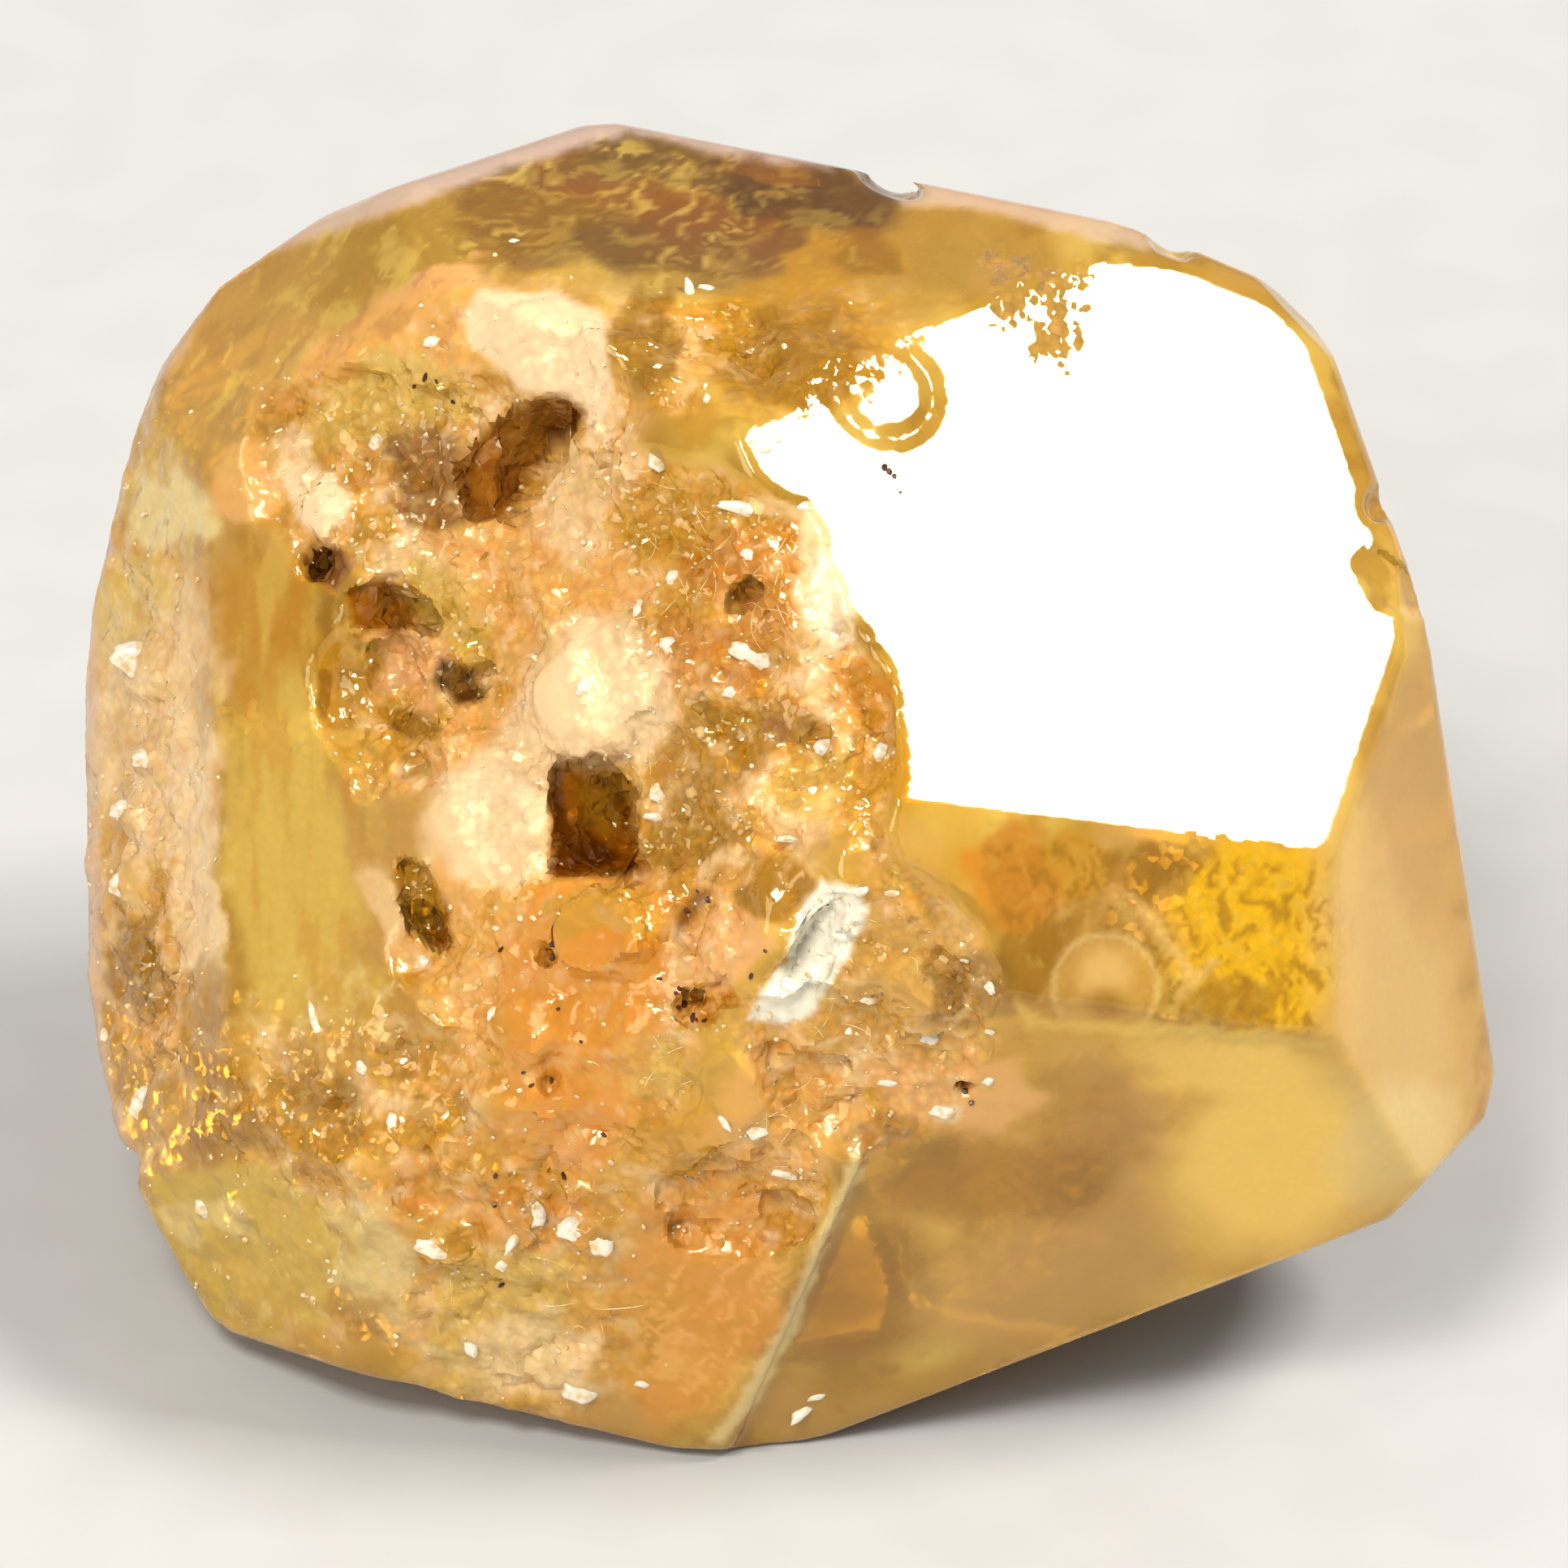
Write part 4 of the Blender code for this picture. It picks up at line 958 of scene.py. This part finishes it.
bpy.ops.mesh.primitive_ico_sphere_add(subdivisions=3, radius=1)
droplet = bpy.context.active_object
dent = droplet.modifiers.new("dent", "DISPLACE")
dent.texture = bpy.data.textures.new("dents", "CLOUDS")
dent.texture.noise_scale = DENT_SIZE
dent.strength = DENT_DEPTH
apply_all(droplet)
droplet_model = model_of(droplet)
view_turn = Matrix((VIEW_RIGHT, VIEW_UP, TOWARDS_VIEWER)).transposed()
stands = []
for at_across, at_up, long_half, short_half, turn in GLINTS:
    place, normal = on_skin(at_across, at_up)
    if place is None:
        continue
    spin = view_turn @ Matrix.Rotation(radians(turn), 3, "Z")
    stretch = (long_half * GLINT_SHARE, short_half * GLINT_SHARE, GLINT_RISE)
    stands.append((place - normal * GLINT_SINK, spin, stretch))
glints = joined_copies("glints", droplet_model, stands)
only(glints)
bpy.ops.object.shade_smooth()
# A pale colour that is a painted highlight.
coat(glints, "painted_glint_pale", (240, 230, 204), (226, 188, 128), 0.12)
scale_about_origin(glints, MM)
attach(glints, "root")

# The sugar: loose-looking crumbs of pale garnet that etching left standing all over the
# hollow, each a small broken chip stuck to the skin. Their pale colour is partly a painted
# highlight, standing for the sparkle of the etched skin.
SUGAR_COUNT = 1000
SUGAR_SIZES = (0.015, 0.05)
SUGAR_SHARE = 0.12
SUGAR_LIFT = 0.2
CALM_SUGAR_LOSS = 0.7
BOX_MARGIN = 0.07
BROKEN_AT = (0.3, 0.2, 0.45)
BROKEN_FACING = (0.4, 0.3, 0.86)
bpy.ops.mesh.primitive_ico_sphere_add(subdivisions=1, radius=1)
crumb = bpy.context.active_object
open_whole_mesh()
bpy.ops.mesh.bisect(plane_co=BROKEN_AT, plane_no=BROKEN_FACING, use_fill=True,
                    clear_outer=True)
bpy.ops.object.mode_set(mode="OBJECT")
crumb_model = model_of(crumb)
luck = random.Random(7)
rich = etched * (0.25 + 0.75 * smooth_step(0.0, 0.4, small)) * front
rich *= (1 - pitted) * (1 - calm * CALM_SUGAR_LOSS)
rich *= np.all((points > box_low + BOX_MARGIN) & (points < box_high - BOX_MARGIN), axis=1)
choice = np.array([luck.random() for _ in range(len(points))]) < rich * SUGAR_SHARE
seats = np.nonzero(choice)[0].tolist()
luck.shuffle(seats)
stands = []
for index in seats[:SUGAR_COUNT]:
    size = luck.uniform(*SUGAR_SIZES) * luck.uniform(0.5, 1)
    turn = Matrix.Rotation(luck.uniform(0, 2 * pi), 3, Vector((
        luck.gauss(0, 1), luck.gauss(0, 1), luck.gauss(0, 1))).normalized())
    stretch = (size * luck.uniform(0.7, 1.6), size, size * luck.uniform(0.5, 1))
    stands.append((points[index] + normals[index] * size * SUGAR_LIFT, turn, stretch))
sugar = joined_copies("sugar", crumb_model, stands)
coat(sugar, "pale_crumb", (244, 222, 176), (228, 174, 96), 0.12)
scale_about_origin(sugar, MM)
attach(sugar, "root")

# The threads: fine pale lines, a hair's width across, that run in curves over the hollow and
# the rough foot: painted highlights for the bright edges of etch pits and fractures. Each is a
# thin pale tube that lies in the skin.
# Each field has its place, half sizes, count, and its direction and spread in degrees.
THREAD_FIELDS = (
    ((-1.0, 2.6), (1.2, 1.7), 34, 60, 90),
    ((0.9, -2.5), (0.7, 1.0), 18, 50, 90),
    ((-0.9, -4.2), (1.5, 0.9), 26, 60, 90),
    ((-3.2, -6.5), (1.2, 1.0), 12, 60, 90),
)
THREAD_STEPS = 8
THREAD_HALF = (0.005, 0.009)
THREAD_STRIDE = (0.025, 0.1)
THREAD_BEND = 0.22
THREAD_LEAST_RINGS = 3
THREAD_LEAST_ETCH = 0.4
thread_corners, thread_faces = [], []
for (mid_across, mid_up), (half_across, half_up), count, heading, spread in THREAD_FIELDS:
    for number in range(count):
        at = Vector((mid_across + half_across * luck.uniform(-1, 1),
                     mid_up + half_up * luck.uniform(-1, 1)))
        angle = radians(heading + luck.uniform(-spread, spread))
        stride = luck.uniform(*THREAD_STRIDE)
        bend = luck.gauss(0, THREAD_BEND)
        half = luck.uniform(*THREAD_HALF)
        start = len(thread_corners)
        rings = 0
        for step in range(THREAD_STEPS + 1):
            place, normal = on_skin(at.x, at.y)
            if place is None or etched[lookup.find(place)[1]] < THREAD_LEAST_ETCH:
                break
            thick = half * sin(pi * (step + 0.4) / (THREAD_STEPS + 0.8))
            along = VIEW_RIGHT * cos(angle) + VIEW_UP * sin(angle)
            sideways = normal.cross(along).normalized()
            for lean in (sideways, normal, -sideways, -normal):
                thread_corners.append(place + lean * thick)
            rings += 1
            at += Vector((cos(angle), sin(angle))) * stride
            angle += bend * luck.uniform(0.3, 1.2)
        if rings < THREAD_LEAST_RINGS:
            del thread_corners[start:]
            continue
        for ring in range(rings - 1):
            for side in range(4):
                low, high = start + ring * 4 + side, start + ring * 4 + (side + 1) % 4
                thread_faces.append((low, high, high + 4, low + 4))
        last = start + (rings - 1) * 4
        thread_faces.append((start + 3, start + 2, start + 1, start))
        thread_faces.append((last, last + 1, last + 2, last + 3))
thread_mesh = bpy.data.meshes.new("threads")
thread_mesh.from_pydata(np.clip(thread_corners, box_low, box_high).tolist(), [], thread_faces)
threads = put_in_scene("threads", thread_mesh)
only(threads)
open_whole_mesh()
bpy.ops.mesh.normals_make_consistent(inside=False)
bpy.ops.object.mode_set(mode="OBJECT")
coat(threads, "painted_thread_highlight", (255, 228, 168), (250, 200, 120), 0.15)
scale_about_origin(threads, MM)
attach(threads, "root")

# The dark grains: small specks, dark red to black, set in the skin of the hollow where it
# shows small dark pits. Each has its place across and up.
DARK_GRAINS = (
    (-2.98, -2.22), (-2.96, -2.05), (-2.9, -2.88), (-3.24, -3.86), (-3.34, -3.7), (-2.98, -3.8),
    (-2.3, -4.5), (-2.82, -5.02), (-1.36, -2.86), (-1.28, -2.82), (-1.1, -3.02), (-1.02, -3.03),
    (-1.16, -3.0), (-1.34, -2.62), (-1.38, -2.7), (-0.24, -2.14), (-0.42, -2.46), (2.32, -3.94),
    (2.4, -4.08), (-3.62, -2.12), (-4.46, 5.16), (-4.74, 5.1), (-4.6, 5.22), (-1.1, -1.36),
    (-1.24, -1.62), (-0.96, -1.48), (1.28, 4.06), (1.34, 4.0), (1.41, 3.95), (1.49, 3.74),
    (-3.62, -6.42), (-3.7, -5.02), (-4.24, 4.9), (-1.6, -2.5), (-3.7, -5.4), (-2.6, -3.3),
)
DARK_SIZES = (0.03, 0.065)
stands = []
for at_across, at_up in DARK_GRAINS:
    place, normal = on_skin(at_across, at_up)
    size = luck.uniform(*DARK_SIZES)
    turn = Matrix.Rotation(luck.uniform(0, 2 * pi), 3, normal)
    stands.append((place, turn, (size * luck.uniform(0.7, 1.5), size, size * 0.6)))
dark_grains = joined_copies("dark_grains", crumb_model, stands)
coat(dark_grains, "dark_speck", (60, 18, 6), (110, 40, 14), 0.35)
scale_about_origin(dark_grains, MM)
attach(dark_grains, "root")

# The floor. A plain pale tabletop of smooth matt board that the crystal lies on.
FLOOR_SIZE = 1.2
BOARD_COLOUR = (0.56, 0.55, 0.53)
BOARD_GRAIN = 900
bpy.ops.mesh.primitive_plane_add(size=FLOOR_SIZE, location=(0, 0, 0))
floor_board = bpy.context.active_object
floor_board.name = "floor"
board, board_nodes, board_skin = plain_material("pale_board")
board_grain = board_nodes.nodes.new("ShaderNodeTexNoise")
board_grain.inputs["Scale"].default_value = BOARD_GRAIN
board_grain.inputs["Detail"].default_value = 0
board_shade = ramp(board_nodes, board_grain.outputs["Fac"], 0.3, 0.7, 0.985, 1.015)
board_tint = vector_maths(board_nodes, "SCALE", BOARD_COLOUR, scale=board_shade)
board_nodes.links.new(board_tint, board_skin.inputs["Base Color"])
board_skin.inputs["Roughness"].default_value = 0.7
floor_board.data.materials.append(board)

# The light: a pale room and three softboxes. The small strong key lies as an image in the
# broad face, a wide faint one stands on the left, and one high in front lights the hollow.
LAMP_DISTANCE = 0.6
ROOM_COLOUR = (0.95, 0.96, 1.0, 1)
ROOM_STRENGTH = 0.38


def softbox(name, towards, width, strength, warmth):
    """A square lamp that looks at the crystal from a direction."""
    lamp = bpy.data.lights.new(name, "AREA")
    lamp.size = width
    lamp.color = warmth
    lamp.energy = strength * width * width * pi
    holder = put_in_scene(name, lamp)
    direction = Vector(towards).normalized()
    holder.location = HEART * MM + direction * LAMP_DISTANCE
    holder.rotation_euler = direction.to_track_quat("Z", "Y").to_euler()


softbox("key", (0.6, -0.07, 0.8), 0.15, 42, (1.0, 0.98, 0.94))
softbox("left", (-0.6, -0.65, 0.47), 0.3, 3.6, (1.0, 0.99, 0.96))
softbox("front", (-0.2, -0.5, 0.84), 0.16, 27, (1.0, 0.98, 0.94))

room = bpy.data.worlds.new("room")
scene = bpy.context.scene
scene.world = room
room.use_nodes = True
room.cycles.sampling_method = "NONE"
background = room.node_tree.nodes["Background"]
background.inputs["Color"].default_value = ROOM_COLOUR
background.inputs["Strength"].default_value = ROOM_STRENGTH

# The camera: a long macro lens that looks down at the crystal. Few light bounces keep a
# render short.
VIEW_WIDTH = 0.0201
SENSOR = 36
lens = bpy.data.cameras.new("camera")
lens.sensor_width = SENSOR
lens.lens = SENSOR * VIEW_DISTANCE * MM / VIEW_WIDTH
lens.clip_start = 0.01
lens.clip_end = 10
camera = put_in_scene("camera", lens)
camera.location = (HEART + TOWARDS_VIEWER * VIEW_DISTANCE) * MM
camera.rotation_euler = (pi / 2 - VIEW_TILT, 0, 0)
scene.camera = camera
scene.view_settings.view_transform = "Standard"
tracing = scene.cycles
tracing.max_bounces = 5
tracing.transmission_bounces = 4
tracing.diffuse_bounces = 1
tracing.glossy_bounces = 2
tracing.use_light_tree = False
tracing.caustics_reflective = False
